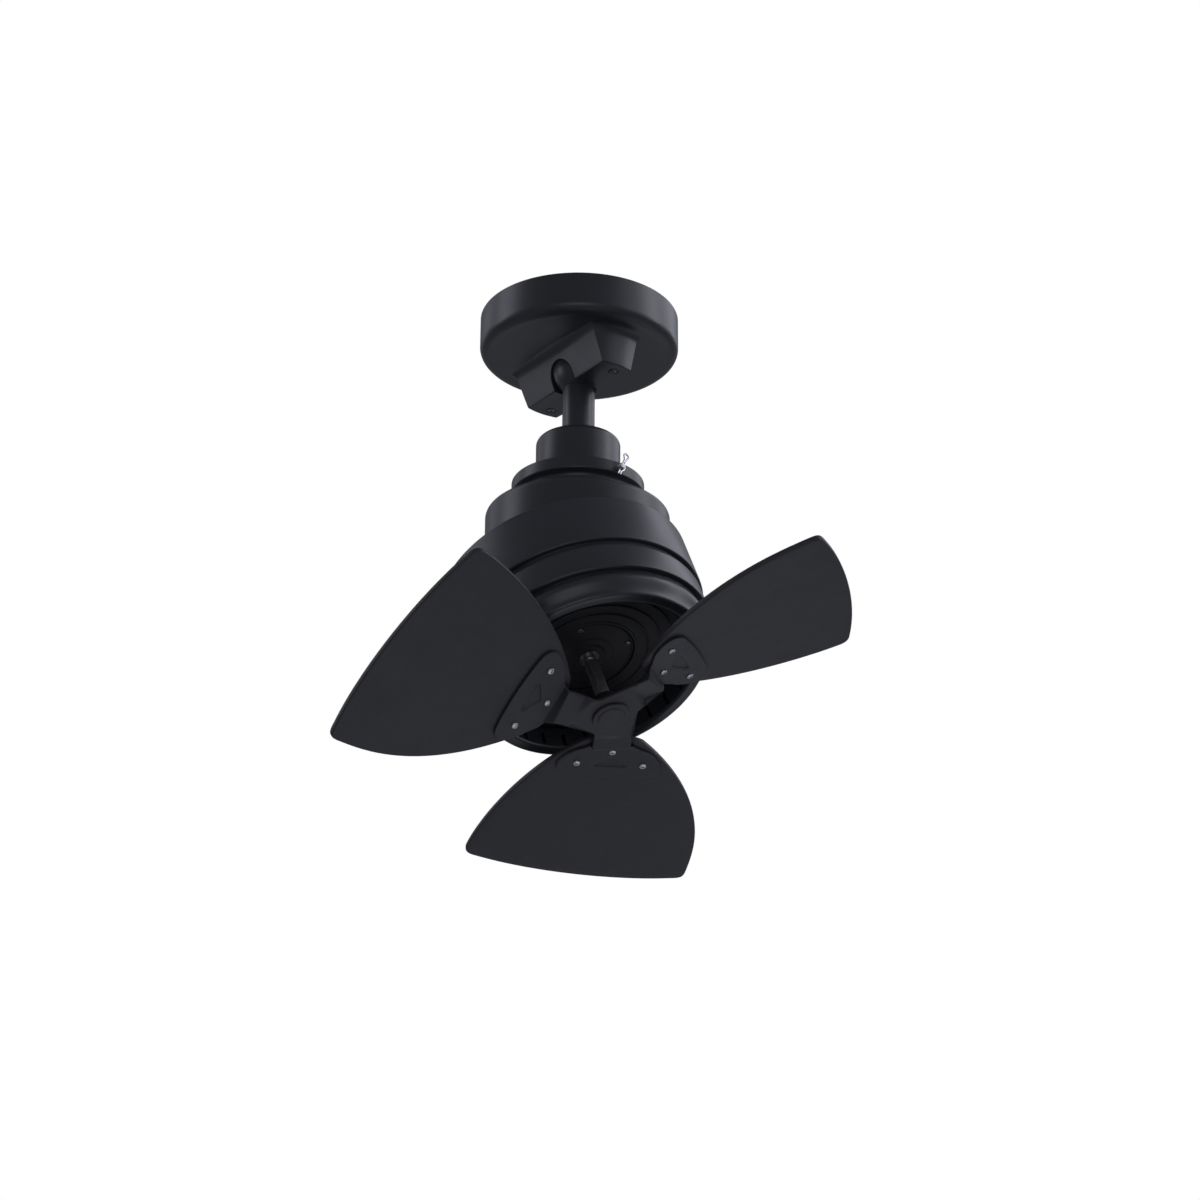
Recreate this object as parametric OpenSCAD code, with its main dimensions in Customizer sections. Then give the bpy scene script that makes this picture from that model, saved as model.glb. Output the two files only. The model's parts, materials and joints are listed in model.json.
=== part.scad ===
// Ceiling fan with one leaning head and three short blades.
// Millimetres. The origin is the middle of the ceiling face and Z points up.
// The head leans towards -Y, its tilt bolt lies along X.

/* [Layout] */
// Depth of the tilt bolt below the ceiling
pivot_drop = 277; // [265:1:340]
// Lean of the head from straight down
head_tilt = 24; // [0:1:25]
// Turn of the canopy about the rod, against the tilt bolt
boss_turn = -7.5; // [-15:0.5:15]
// Turn of the blades about the head axis
blade_phase = 57.2; // [0:0.1:120]

/* [Canopy] */
// Radius of the canopy
canopy_r = 82.3; // [78:0.1:95]
// Height of the canopy without its boss
canopy_h = 34.5; // [34:0.5:45]
// Wall of the canopy
canopy_wall = 3; // [2:0.1:4]
// Rounding of the canopy's lower edge
canopy_edge = 7.5; // [4:0.5:9]
// Radius of the boss where it leaves the canopy
boss_root_r = 60; // [57:0.5:64]
// Radius of the boss at its flat bottom
boss_end_r = 54; // [50:0.5:56]
// Depth of the boss below the canopy
boss_h = 30; // [26:0.5:32]
// Distance from the rod axis to the bottom edge of the boss's slotted face
boss_front = 14; // [12:0.5:17]
// Distance from the rod axis to the bottom edge of the boss's back face
boss_back = 17.5; // [16:0.5:24]
// Sideways gap between the rod and the slot that it swings in
slot_gap = 1.15; // [0.6:0.05:2]
// Distance from the rod axis to each canopy screw
canopy_screw_at = 43.4; // [36:0.1:45]
// Shift of the canopy screws away from the slotted face
canopy_screw_shift = 3; // [0:0.5:5]
// Radius of the canopy screws
canopy_screw_r = 2; // [1.5:0.1:2.5]

/* [Ceiling plate] */
// Radius of the steel plate on the ceiling
plate_r = 70; // [64:0.5:72]
// Thickness of the plate
plate_t = 2.5; // [2:0.1:4]
// Distance between the two slots for the outlet box screws
box_spacing = 88.9; // [84:0.1:96]
// Width of those slots
box_slot_w = 5; // [4:0.1:6]
// Length of those slots
box_slot_l = 14; // [10:0.5:18]
// Radius of the wire hole in the plate
wire_hole_r = 9; // [6:0.5:10]
// Radius of the posts that take the canopy screws
post_r = 5; // [4:0.1:6]

/* [Hanger ball and rod] */
// Radius of the hanger ball
ball_r = 21.5; // [19:0.1:24]
// Depth of the ball's centre below the canopy's floor
ball_below = 13; // [10:0.5:14]
// Outer radius of the rod
rod_r = 13.35; // [11:0.05:14]
// Wall of the rod
rod_wall = 2.9; // [2:0.1:4]
// Radius of the cross pin in the ball
ball_pin_r = 3; // [2:0.1:4]
// Free gap between moving curved faces
move_gap = 0.3; // [0.2:0.05:0.6]
// Radial gap of a running fit
run_gap = 0.05; // [0.02:0.01:0.09]

/* [Neck] */
// Radius of the coupling cup
cup_r = 34.6; // [31:0.1:38]
// Height of the coupling cup
cup_h = 40; // [34:0.5:50]
// Rounding of the cup's shoulder
cup_edge = 5; // [2:0.5:8]
// Radius of the clevis pin
clevis_r = 2.5; // [2:0.1:3.5]
// Depth of the clevis pin below the top of the flange
clevis_below = 6.5; // [5.5:0.5:8]
// Reach of the clevis pin past the flange
clevis_out = 8; // [7:0.5:12]
// Radius of the flange below the cup
flange_r = 54.1; // [50:0.5:60]
// Height of that flange
flange_h = 27; // [24:0.5:34]
// Height of the flange's wide rim
flange_rim_h = 10; // [8:0.5:14]
// Step from the rim to the flange's body
flange_step = 5; // [1:0.1:6]
// Gap between the neck cap and the upper shell's rim at the largest lean
cap_gap = 0.7; // [0.4:0.1:4]
// Largest lean of the head
max_lean = 25; // [10:1:25]
// Height of the neck cap's top above the swivel dome
cap_headroom = 13; // [8:0.5:16]
// Rounding of the cap's shoulder
cap_edge = 5.5; // [2:0.5:8]
// Wall of the cap and the flange
neck_wall = 2.5; // [2:0.1:3]
// Radius of the tilt arm's stem
stem_r = 8; // [7:0.1:9]
// Radius of the wire passage in the stem
stem_bore_r = 4.5; // [3:0.1:5]

/* [Head shells] */
// Outer radius of the upper shell
shell_r = 105; // [104:0.1:112]
// Height of the upper shell's rim above the tilt bolt
shell_rise = 40.8; // [36:0.2:41]
// Wall of the shells
shell_wall = 2.5; // [2:0.1:2.6]
// Height of the upper shell's lower edge above the tilt bolt
shell_foot = -5.6; // [-7:0.1:-4]
// Depth of the groove below the upper shell
groove_depth = 4.4; // [3:0.1:6]
// Height of that groove
groove_h = 5; // [3:0.1:7]
// Step in from the upper shell to the middle band
band_step = 2; // [1:0.1:3.5]
// Height of the middle band
band_h = 24; // [20:0.5:26]
// Step in from the upper shell to the finned ring in the gap
fin_step = 6.4; // [6:0.1:10]
// Height of the gap that the finned ring fills
fin_gap = 3.6; // [3:0.1:5]
// Number of fins in the gap
fin_count = 3; // [2:1:4]
// Step in from the upper shell to the top of the lower ring
ring_step = 5.9; // [4:0.1:8]
// Height of the lower ring
ring_h = 18; // [17:0.1:20]
// Radius of the lower ring's rolled lip
lip_r = 7; // [6.5:0.1:7.5]
// Step in from the top of the lower ring to the middle of the lip
lip_step = 11.1; // [10:0.1:12]
// Number of vent slots in the lower ring's inner wall
vent_count = 28; // [20:1:32]
// Width of a vent slot
vent_w = 3.2; // [2:0.1:4]
// Step in from the middle of the lip to the swivel dome
dome_step = 3; // [2:0.1:6]
// Thickness of the swivel dome
dome_wall = 2; // [1.5:0.1:2.5]

/* [Motor] */
// Radius of the motor shaft
shaft_r = 6; // [5:0.1:7]
// Outer radius of the bearings
bearing_r = 10.5; // [9.5:0.1:12]
// Width of the bearings
bearing_w = 5; // [4:0.1:6]
// Outer radius of the stator core
stator_r = 62; // [56:0.5:66]
// Inner radius of the stator core
stator_bore = 36; // [33:0.1:38]
// Height of the stator core
stator_h = 11; // [9:0.1:12]
// Gap between the stator and the rotor core
air_gap = 0.7; // [0.4:0.1:1.2]
// Number of stator slots
slot_count = 18; // [12:1:24]
// Radius of the round end cap below the motor
end_cap_r = 37.6; // [34:0.1:40]
// Thickness of the motor's plates
motor_plate = 2.5; // [2:0.1:3]

/* [Tilt joint] */
// Radius of the tilt bolt
tilt_bolt_r = 4; // [3:0.1:5]
// Radius of the knuckle on the stem
knuckle_r = 11; // [9:0.1:11.5]
// Reach of the knuckle past the stem, on each side
knuckle_side = 0.5; // [0.2:0.1:2]
// Thickness of each friction washer
washer_t = 1.5; // [1:0.1:2]
// Thickness of each ear of the tilt bracket
ear_t = 4; // [3:0.1:5]
// Radius of the tilt bracket's foot
bracket_r = 30; // [24:0.5:36]
// Thickness of the tilt bracket's foot
bracket_t = 2.5; // [2:0.1:4]
// Gap between the knuckle and the bracket's foot
knuckle_gap = 0.5; // [0.3:0.1:1]

/* [Blades] */
// Blade length scale, as the distance from the head axis to the middle of the tip
blade_reach = 211; // [190:0.1:260]
// Half width of the blade
blade_half = 94; // [80:0.1:105]
// Thickness of the blades
blade_t = 5; // [3:0.1:7]
// Pitch of the blades
blade_pitch = 12.5; // [6:0.1:16]
// Rise of the blades towards the tip
blade_rise = 0; // [0:0.1:4]
// Depth of the blade pads below the tilt bolt, on the head axis
pad_drop = 87.8; // [84:0.1:92]
// Sideways shift of the pads from the head axis
pad_shift = 12.2; // [8:0.1:16]
// Thickness of the spider's plate
spider_t = 2.5; // [2:0.1:3.5]
// Depth of the spider's hub below the tilt bolt
hub_drop = 97.5; // [96.5:0.1:99]
// Radius of the spider's hub
hub_r = 22; // [19:0.1:24]
// Half width of the spider's necks
neck_half = 15.6; // [14:0.1:17]
// Sideways shift of the necks from the middle of the pads
neck_shift = 2.9; // [1:0.1:4]
// Step down from the pads to the necks
neck_drop = 7; // [5.5:0.1:7.5]
// Distance from the head axis to the inner screw of each pad
pad_inner_at = 53; // [51:0.1:55]
// Distance from the head axis to the line of the two outer screws
pad_outer_at = 67.9; // [66:0.1:70]
// Distance from that line's middle to each outer screw
pad_screw_half = 26.7; // [24:0.1:28]
// Radius of the blade screws
blade_screw_r = 1.6; // [1.2:0.1:2]
// Radius of the blade screws' heads
blade_head_r = 2.9; // [2.4:0.1:3.6]
// Radius of the cap under the hub
hub_cap_r = 15; // [14:0.1:17.5]

/* [Hidden] */
$fn = 96;
EPS = 0.01;
THROUGH = 400;

BLACK = [0.05, 0.05, 0.055];
CHARCOAL = [0.09, 0.09, 0.095];
STEEL = [0.62, 0.62, 0.64];
COPPER = [0.72, 0.42, 0.24];
GREY = [0.32, 0.32, 0.34];

// Radii of the head, each a step in from the upper shell
groove_r = shell_r - groove_depth;
band_r = shell_r - band_step;
fin_r = shell_r - fin_step;
ring_r = shell_r - ring_step;
lip_at = ring_r - lip_step;
screw_at = lip_at + 3;
dome_r = lip_at - dome_step;

// The neck cap clears the upper shell's rim at the largest lean
cap_r = (shell_r - shell_wall) * cos(max_lean) - shell_rise * sin(max_lean) - cap_gap;
cap_rise = dome_r + cap_headroom;

// Heights along the plumb line, from the ceiling down
canopy_floor = -canopy_h + canopy_wall;
boss_bottom = -canopy_h - boss_h;
ball_z = -canopy_h - ball_below;
cap_top = -pivot_drop + cap_rise;
flange_top = cap_top + flange_h;
cup_top = flange_top + cup_h;
clevis_z = flange_top - clevis_below;
slot_r = rod_r + slot_gap;
rod_bottom = flange_top + 11;
knuckle_half = stem_r + knuckle_side;
cap_inner_r = cap_r - neck_wall;
skirt_rise = sqrt(pow(dome_r + 0.8, 2) - pow(cap_inner_r, 2));

// Heights along the head axis, from the tilt bolt down
groove_top = shell_foot;
band_top = groove_top - groove_h;
band_bottom = band_top - band_h;
ring_top = band_bottom - fin_gap;
ring_bottom = ring_top - ring_h;
lip_z = ring_bottom + lip_r;
top_plate_z = -knuckle_r - knuckle_gap - bracket_t;
bearing_top = top_plate_z - motor_plate;
stator_top = bearing_top - 1.5;
stator_bottom = stator_top - stator_h;
end_cap_top = stator_bottom - 3;
end_cap_bottom = end_cap_top - motor_plate;
rotor_top = bearing_top - bearing_w - 1;
vent_floor_top = end_cap_top;
vent_floor_bottom = vent_floor_top - 2;
hub_top = -hub_drop + spider_t;

// A washer-shaped ring from z0 up to z1
module ring(r_out, r_in, z0, z1) {
    translate([0, 0, z0])
        difference() {
            cylinder(r = r_out, h = z1 - z0);
            translate([0, 0, -1]) cylinder(r = r_in, h = z1 - z0 + 2);
        }
}

// A disc from z0 up to z1
module disc(r, z0, z1) {
    translate([0, 0, z0]) cylinder(r = r, h = z1 - z0);
}

// A rod along X from x0 to x1
module bar_x(r, x0, x1) {
    translate([x0, 0, 0]) rotate([0, 90, 0]) cylinder(r = r, h = x1 - x0);
}

// A pan head screw that points up, with the underside of its head at z = 0
module screw_up(r, head_r, head_h, length) {
    cylinder(r = r, h = length);
    difference() {
        intersection() {
            translate([0, 0, -head_h]) cylinder(r = head_r, h = head_h);
            translate([0, 0, head_r * 1.6 - head_h]) sphere(r = head_r * 1.6);
        }
        cross_recess(head_r, head_h);
    }
}

// Cross recess in the underside of a screw's head
module cross_recess(head_r, head_h) {
    arm = head_r * 1.1;
    for (a = [0, 90])
        rotate([0, 0, a])
            translate([-arm / 2, -head_r * 0.13, -head_h - 1])
                cube([arm, head_r * 0.26, 1 + head_h * 0.4]);
}

// Children at n places round a circle
module around(n, r, start = 0) {
    for (i = [0 : n - 1])
        rotate([0, 0, start + 360 / n * i]) translate([r, 0, 0]) children();
}

// Children in the canopy's own turn about the rod
module canopy_frame() {
    rotate([0, 0, boss_turn]) children();
}

// Children in the head's frame: origin on the tilt bolt, Z along the head axis
module head_frame() {
    translate([0, 0, -pivot_drop]) rotate([-head_tilt, 0, 0]) children();
}

// Points of a cubic curve, without its last point
function bezier(a, b, c, d, n = 12) = [
    for (i = [0 : n - 1])
        let (t = i / n, s = 1 - t)
            s * s * s * a + 3 * s * s * t * b + 3 * s * t * t * c + t * t * t * d
];

/* ---- what stays on the ceiling ---- */

module mounting_plate() {
    color(STEEL)
        difference() {
            disc(plate_r, -plate_t, 0);
            translate([0, wire_hole_r + 14, 0]) disc(wire_hole_r, -plate_t - 1, 1);
            for (s = [-1, 1])
                translate([s * box_spacing / 2, 0, -plate_t - 1])
                    box_slot(plate_t + 2);
            at_canopy_screws() disc(canopy_screw_r + run_gap, -plate_t - 1, 1);
        }
}

// Children at the two canopy screws
module at_canopy_screws() {
    canopy_frame()
        for (s = [-1, 1])
            translate([canopy_screw_shift, s * canopy_screw_at, 0]) children();
}

// A round-ended slot along X
module box_slot(h) {
    half = (box_slot_l - box_slot_w) / 2;
    for (s = [-1, 1])
        translate([s * half, 0, 0]) cylinder(r = box_slot_w / 2, h = h);
    translate([-half, -box_slot_w / 2, 0]) cube([2 * half, box_slot_w, h]);
}

module plate_posts() {
    color(STEEL)
        at_canopy_screws() ring(post_r, canopy_screw_r + run_gap, canopy_floor, -plate_t);
}

module terminal_block() {
    block = [14, 34, 12];
    way = 10;
    color(GREY)
        rotate([0, 0, 225]) translate([plate_r - 34, -block[1] / 2, -plate_t - block[2]])
            difference() {
                cube(block);
                for (i = [0 : 2])
                    translate([block[0] / 2, block[1] / 2 + way * (i - 1), -1])
                        cylinder(r = 2, h = 6);
            }
}

module canopy() {
    color(BLACK)
        difference() {
            union() {
                canopy_shell();
                canopy_frame() canopy_boss();
            }
            canopy_frame() canopy_cuts();
        }
}

// The round pan, open at the ceiling
module canopy_shell() {
    inner_edge = canopy_edge - canopy_wall;
    rotate_extrude()
        difference() {
            union() {
                translate([0, -canopy_h + canopy_edge]) square([canopy_r, canopy_h - canopy_edge]);
                translate([0, -canopy_h]) square([canopy_r - canopy_edge, canopy_edge]);
                quarter(canopy_r - canopy_edge, -canopy_h + canopy_edge, canopy_edge);
            }
            translate([0, canopy_floor + inner_edge])
                square([canopy_r - canopy_wall, canopy_h]);
            translate([0, canopy_floor]) square([canopy_r - canopy_edge, canopy_edge]);
            quarter(canopy_r - canopy_edge, -canopy_h + canopy_edge, inner_edge);
        }
}

// A disc of the profile at x, z that keeps to the right of the axis
module quarter(x, z, r) {
    translate([x, z]) circle(r = r);
}

// The socket boss below the pan: a cone cut by a leaning front face and two back faces
module canopy_boss() {
    lean = 0.418;
    rise = boss_h + 1;
    foot_h = 4;
    foot_flare = 3;
    wide = 2 * boss_root_r;
    intersection() {
        union() {
            translate([0, 0, boss_bottom])
                cylinder(r1 = boss_end_r, r2 = boss_root_r, h = boss_h + EPS);
            translate([0, 0, -canopy_h - foot_h])
                cylinder(r1 = boss_root_r - 1, r2 = boss_root_r + foot_flare, h = foot_h + EPS);
        }
        rotate([90, 0, 0])
            translate([0, 0, -wide / 2])
                linear_extrude(height = wide)
                    polygon([
                        [-boss_front, boss_bottom], [wide, boss_bottom],
                        [wide, boss_bottom + rise], [-boss_front - lean * rise, boss_bottom + rise]
                    ]);
        translate([0, 0, boss_bottom])
            linear_extrude(height = boss_h + 2)
                polygon([
                    [-wide, -wide], [boss_back - 8, -wide], [boss_back - 3.2, -54],
                    [boss_back, -20], [boss_back, 20],
                    [boss_back - 3.2, 54], [boss_back - 8, wide], [-wide, wide]
                ]);
    }
    translate([0, 0, canopy_floor]) cylinder(r = ball_r + 5, h = 5);
}

// Ball seat, drop-in well, swing slot and screw holes
module canopy_cuts() {
    seat_r = ball_r + move_gap;
    arch_z = -canopy_h - 5.5 - slot_r;
    translate([0, 0, ball_z]) {
        sphere(r = seat_r);
        cylinder(r = seat_r, h = canopy_h);
    }
    disc(slot_r, boss_bottom - 1, ball_z);
    translate([0, 0, arch_z]) rotate([0, -90, 0]) cylinder(r = slot_r, h = boss_root_r);
    translate([-boss_root_r, -slot_r, boss_bottom - 1])
        cube([boss_root_r, 2 * slot_r, arch_z - boss_bottom + 1]);
    for (s = [-1, 1])
        translate([canopy_screw_shift, s * canopy_screw_at, boss_bottom - 1])
            cylinder(r = canopy_screw_r + 0.3, h = canopy_floor - boss_bottom + 2);
}

module canopy_screws() {
    color(STEEL)
        at_canopy_screws()
            translate([0, 0, boss_bottom])
                screw_up(canopy_screw_r, canopy_screw_r * 1.6, 1.4, canopy_floor - boss_bottom + 14);
}

/* ---- the hanging rod ---- */

module hanger_ball() {
    flat = ball_r * 0.8;
    color(STEEL)
        canopy_frame()
            difference() {
                translate([0, 0, ball_z])
                    intersection() {
                        sphere(r = ball_r);
                        translate([0, 0, -flat]) cylinder(r = ball_r + 1, h = 2 * flat);
                    }
                disc(rod_r + run_gap, ball_z - ball_r, ball_z + ball_r);
                translate([0, 0, ball_z]) rotate([90, 0, 0])
                    cylinder(r = ball_pin_r + run_gap, h = 3 * ball_r, center = true);
                translate([0, 0, ball_z + ball_r / 3]) bar_x(2.5 + run_gap, 0, ball_r + 1);
            }
}

module ball_pin() {
    half = ball_r - 2;
    color(STEEL)
        canopy_frame()
            translate([0, 0, ball_z]) rotate([90, 0, 0])
                translate([0, 0, -half]) cylinder(r = ball_pin_r, h = 2 * half);
}

module ball_set_screw() {
    reach = sqrt(pow(ball_r, 2) - pow(ball_r / 3, 2));
    color(STEEL)
        canopy_frame()
            translate([0, 0, ball_z + ball_r / 3])
                difference() {
                    bar_x(2.5, rod_r + 0.1, reach - 2);
                    translate([reach - 4, 0, 0]) rotate([0, 90, 0]) cylinder(r = 1.3, h = 4, $fn = 6);
                }
}

module downrod() {
    color(BLACK)
        difference() {
            ring(rod_r, rod_r - rod_wall, rod_bottom, ball_z + ball_r * 0.75);
            canopy_frame()
                translate([0, 0, ball_z]) rotate([90, 0, 0])
                    cylinder(r = ball_pin_r + run_gap, h = 3 * ball_r, center = true);
        }
}

module coupling_cup() {
    color(BLACK)
        difference() {
            rotate_extrude()
                union() {
                    translate([0, flange_top]) square([cup_r, cup_h - cup_edge]);
                    translate([0, flange_top]) square([cup_r - cup_edge, cup_h]);
                    translate([cup_r - cup_edge, cup_top - cup_edge]) circle(r = cup_edge);
                }
            disc(rod_r + run_gap, rod_bottom, cup_top + 1);
            disc(cup_r - neck_wall, flange_top - 1, cup_top - cup_edge);
        }
}

collar_r = 21;

module rod_collar() {
    color(STEEL)
        difference() {
            disc(collar_r, flange_top, cup_top - cup_edge - 1);
            disc(rod_r + run_gap, rod_bottom, cup_top);
            disc(stem_r + run_gap, flange_top - 1, rod_bottom - 2);
            disc(stem_bore_r, flange_top, cup_top);
            at_collar_screws() bar_x(2.5 + run_gap, rod_r - 1, collar_r + 1);
        }
}

// Children on the line of each collar screw, along X
module at_collar_screws() {
    for (a = [0, 90])
        rotate([0, 0, a]) translate([0, 0, cup_top - cup_h / 2]) children();
}

module collar_screws() {
    color(STEEL)
        at_collar_screws()
            difference() {
                bar_x(2.5, rod_r + 0.1, collar_r - 0.5);
                translate([collar_r - 3, 0, 0]) rotate([0, 90, 0]) cylinder(r = 1.3, h = 4, $fn = 6);
            }
}

cotter_wire = 0.8;
cotter_at = flange_r + clevis_out - 3;
cotter_lean = 26;

// Children with X along the clevis pin, towards its cotter
module clevis_frame() {
    canopy_frame() translate([0, 0, clevis_z]) rotate([0, 0, -90]) children();
}

module clevis_pin() {
    color(STEEL)
        clevis_frame()
            difference() {
                union() {
                    bar_x(clevis_r, -flange_r - 0.2, flange_r + clevis_out - 1);
                    bar_x(clevis_r - 0.6, -flange_r - 0.2, flange_r + clevis_out);
                    bar_x(clevis_r + 1.6, -flange_r - 2, -flange_r - 0.2);
                }
                cotter_frame() cylinder(r = cotter_wire + 0.1, h = 4 * clevis_r, center = true);
            }
}

// Children with Z along the cotter's straight leg, inside the clevis frame
module cotter_frame() {
    translate([cotter_at, 0, 0]) rotate([-cotter_lean, 0, 0]) children();
}

// Centre line of the cotter: a wavy leg, a loop, then the straight leg through the pin
cotter_loop = 2.3;
cotter_top = 9;
cotter_gap = clevis_r + cotter_wire + 0.15;
function cotter_leg(z) =
    cotter_gap * exp(-pow(z / 3.4, 2)) + 1.2 * (1 - exp(-pow(z / 3.4, 2)))
    + (z < -4 ? 0.35 * (-4 - z) : 0);
cotter_path = concat(
    [for (z = [-7 : 1 : cotter_top - 2]) [cotter_leg(z), z]],
    [for (a = [-20 : 20 : 200])
        [cotter_loop * cos(a), cotter_top + cotter_loop + cotter_loop * sin(a)]],
    [[0, cotter_top], [0, cotter_top / 2], [0, 0], [0, -7.5]]
);

module hairpin_cotter() {
    color(STEEL)
        clevis_frame() cotter_frame()
            tube_along([for (p = cotter_path) [0, p[0], p[1]]], cotter_wire, 8);
}

// A round wire along points that lie in the YZ plane
module tube_along(path, r, sides) {
    n = len(path);
    function way(i) = let (d = path[min(i + 1, n - 1)] - path[max(i - 1, 0)]) d / norm(d);
    pts = [
        for (i = [0 : n - 1])
            let (t = way(i), side = [1, 0, 0], up = cross(t, side))
                for (k = [0 : sides - 1])
                    path[i] + r * (cos(360 * k / sides) * side + sin(360 * k / sides) * up)
    ];
    rings = [
        for (i = [0 : n - 2])
            for (k = [0 : sides - 1])
                let (a = i * sides + k, b = i * sides + (k + 1) % sides)
                    each [[a, a + sides, b], [b, a + sides, b + sides]]
    ];
    first = [for (k = [0 : sides - 1]) k];
    last = [for (k = [sides - 1 : -1 : 0]) (n - 1) * sides + k];
    polyhedron(pts, concat(rings, [first], [last]));
}

module neck_flange() {
    body_r = flange_r - flange_step;
    color(BLACK)
        difference() {
            union() {
                disc(flange_r, flange_top - flange_rim_h, flange_top);
                disc(body_r, cap_top, flange_top);
            }
            disc(body_r - neck_wall, cap_top - 1, flange_top - neck_wall);
            disc(stem_r + run_gap, cap_top, flange_top + 1);
            clevis_frame() bar_x(clevis_r + run_gap, -flange_r - 1, flange_r + 1);
        }
}

module neck_cap() {
    skirt_z = -pivot_drop + skirt_rise;
    color(BLACK)
        difference() {
            rotate_extrude()
                union() {
                    translate([0, skirt_z]) square([cap_r, cap_top - cap_edge - skirt_z]);
                    translate([0, skirt_z]) square([cap_r - cap_edge, cap_top - skirt_z]);
                    translate([cap_r - cap_edge, cap_top - cap_edge]) circle(r = cap_edge);
                }
            disc(cap_inner_r, skirt_z - 1, cap_top - cap_edge);
            disc(cap_inner_r - cap_edge, skirt_z - 1, cap_top - neck_wall);
            disc(stem_r + run_gap, skirt_z, cap_top + 1);
        }
}

module tilt_arm() {
    color(STEEL)
        difference() {
            union() {
                disc(stem_r, -pivot_drop, rod_bottom - 2);
                translate([0, 0, -pivot_drop]) bar_x(knuckle_r, -knuckle_half, knuckle_half);
            }
            disc(stem_bore_r, -pivot_drop + knuckle_r + 6, rod_bottom);
            clevis_frame() bar_x(clevis_r + run_gap, -stem_r - 1, stem_r + 1);
            translate([0, 0, -pivot_drop + knuckle_r + 10])
                rotate([90, 0, 0]) cylinder(r = stem_bore_r - 1, h = stem_r + 1);
            translate([0, 0, -pivot_drop])
                bar_x(tilt_bolt_r + run_gap, -knuckle_half - 1, knuckle_half + 1);
        }
}

module stem_nut() {
    nut_top = cap_top - neck_wall;
    color(STEEL)
        difference() {
            union() {
                translate([0, 0, nut_top - 6]) cylinder(r = stem_r * 1.6, h = 5, $fn = 6);
                disc(stem_r * 2.2, nut_top - 1.5, nut_top);
            }
            disc(stem_r + run_gap, nut_top - 7, nut_top + 1);
        }
}

/* ---- the leaning head ---- */

module swivel_dome() {
    seat = shell_foot + 2;
    dome_open = 32;
    color(BLACK)
        head_frame()
            difference() {
                union() {
                    intersection() {
                        sphere(r = dome_r);
                        disc(dome_r + 1, seat, dome_r + 1);
                    }
                    disc(shell_r - shell_wall - 0.5, seat, seat + 2);
                }
                sphere(r = dome_r - dome_wall);
                disc(dome_r - dome_wall - 1, seat - 1, seat + 3);
                translate([-stem_r - 1.5, -dome_r * sin(dome_open), dome_r * 0.6])
                    cube([2 * stem_r + 3, 2 * dome_r * sin(dome_open), dome_r]);
                around(4, screw_at, 45) disc(1.8, seat - 1, seat + 3);
            }
}

module upper_shell() {
    inner = shell_r - shell_wall;
    spigot_in = groove_r - shell_wall;
    shelf = shell_foot + 2;
    color(BLACK)
        head_frame()
            difference() {
                union() {
                    disc(shell_r, shell_foot + 1.5, shell_rise - 1.5);
                    disc(shell_r - 1.5, shell_foot, shell_rise);
                    for (z = [shell_foot + 1.5, shell_rise - 1.5])
                        edge_ring(shell_r - 1.5, z, 1.5);
                    disc(groove_r, band_top, shell_foot + 1);
                }
                disc(inner, shelf, shell_rise + 1);
                disc(lip_at, band_top - 1, shelf + 1);
                disc(spigot_in, band_top - 1, shell_foot);
                around(4, screw_at, 45) disc(1.8, shell_foot - 4, shelf + 1);
            }
}

// A full round ring, used to round the edges of a shell
module edge_ring(at, z, r) {
    rotate_extrude() translate([at, z]) circle(r = r);
}

module middle_band() {
    color(BLACK)
        head_frame()
            difference() {
                union() {
                    disc(band_r, band_bottom + 1.2, band_top - 1.2);
                    disc(band_r - 1.2, band_bottom, band_top);
                    for (z = [band_bottom + 1.2, band_top - 1.2]) edge_ring(band_r - 1.2, z, 1.2);
                }
                disc(band_r - shell_wall, band_bottom + 2, band_top - 2);
                disc(lip_at, band_bottom - 1, band_top + 1);
                around(4, screw_at, 45) disc(1.8, band_bottom - 1, band_top + 1);
            }
}

module finned_ring() {
    pitch = fin_gap / (2 * fin_count);
    color(GREY)
        head_frame()
            difference() {
                union() {
                    disc(fin_r - 1.8, ring_top, band_bottom);
                    for (i = [0 : fin_count - 1])
                        disc(fin_r, ring_top + pitch * (2 * i + 0.5), ring_top + pitch * (2 * i + 1.5));
                }
                disc(lip_at, ring_top - 1, band_bottom + 1);
                around(4, screw_at, 45) disc(1.8, ring_top - 1, band_bottom + 1);
            }
}

module lower_ring() {
    inner_wall_r = lip_at - lip_r;
    color(BLACK)
        head_frame()
            difference() {
                rotate_extrude()
                    difference() {
                        ring_section(0, ring_top, vent_floor_bottom, 3.5);
                        ring_section(shell_wall, ring_top - 2.5, vent_floor_bottom - 3, 0.5);
                    }
                around(4, screw_at, 45) disc(1.8, ring_top - 3, ring_top + 1);
                around(vent_count, inner_wall_r, 1.4)
                    translate([-5, -vent_w / 2, lip_z - 2.5])
                        cube([5 + shell_wall + 1, vent_w, vent_floor_bottom - 7.5 - lip_z + 2.5]);
            }
}

// Section of the lower ring: outer wall to z_top, rolled lip, inner wall to z_in with a flat top
module ring_section(inset, z_top, z_in, flat) {
    inner = lip_at - lip_r + inset;
    difference() {
        union() {
            translate([lip_at, lip_z]) circle(r = lip_r - inset);
            polygon([
                [inner, lip_z], [lip_at + lip_r - inset, lip_z],
                [ring_r - inset, lip_z + 7], [ring_r - inset, z_top],
                [lip_at, z_top], [inner + flat, z_in], [inner, z_in]
            ]);
        }
        translate([0, z_in]) square([lip_at, THROUGH]);
    }
}

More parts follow.
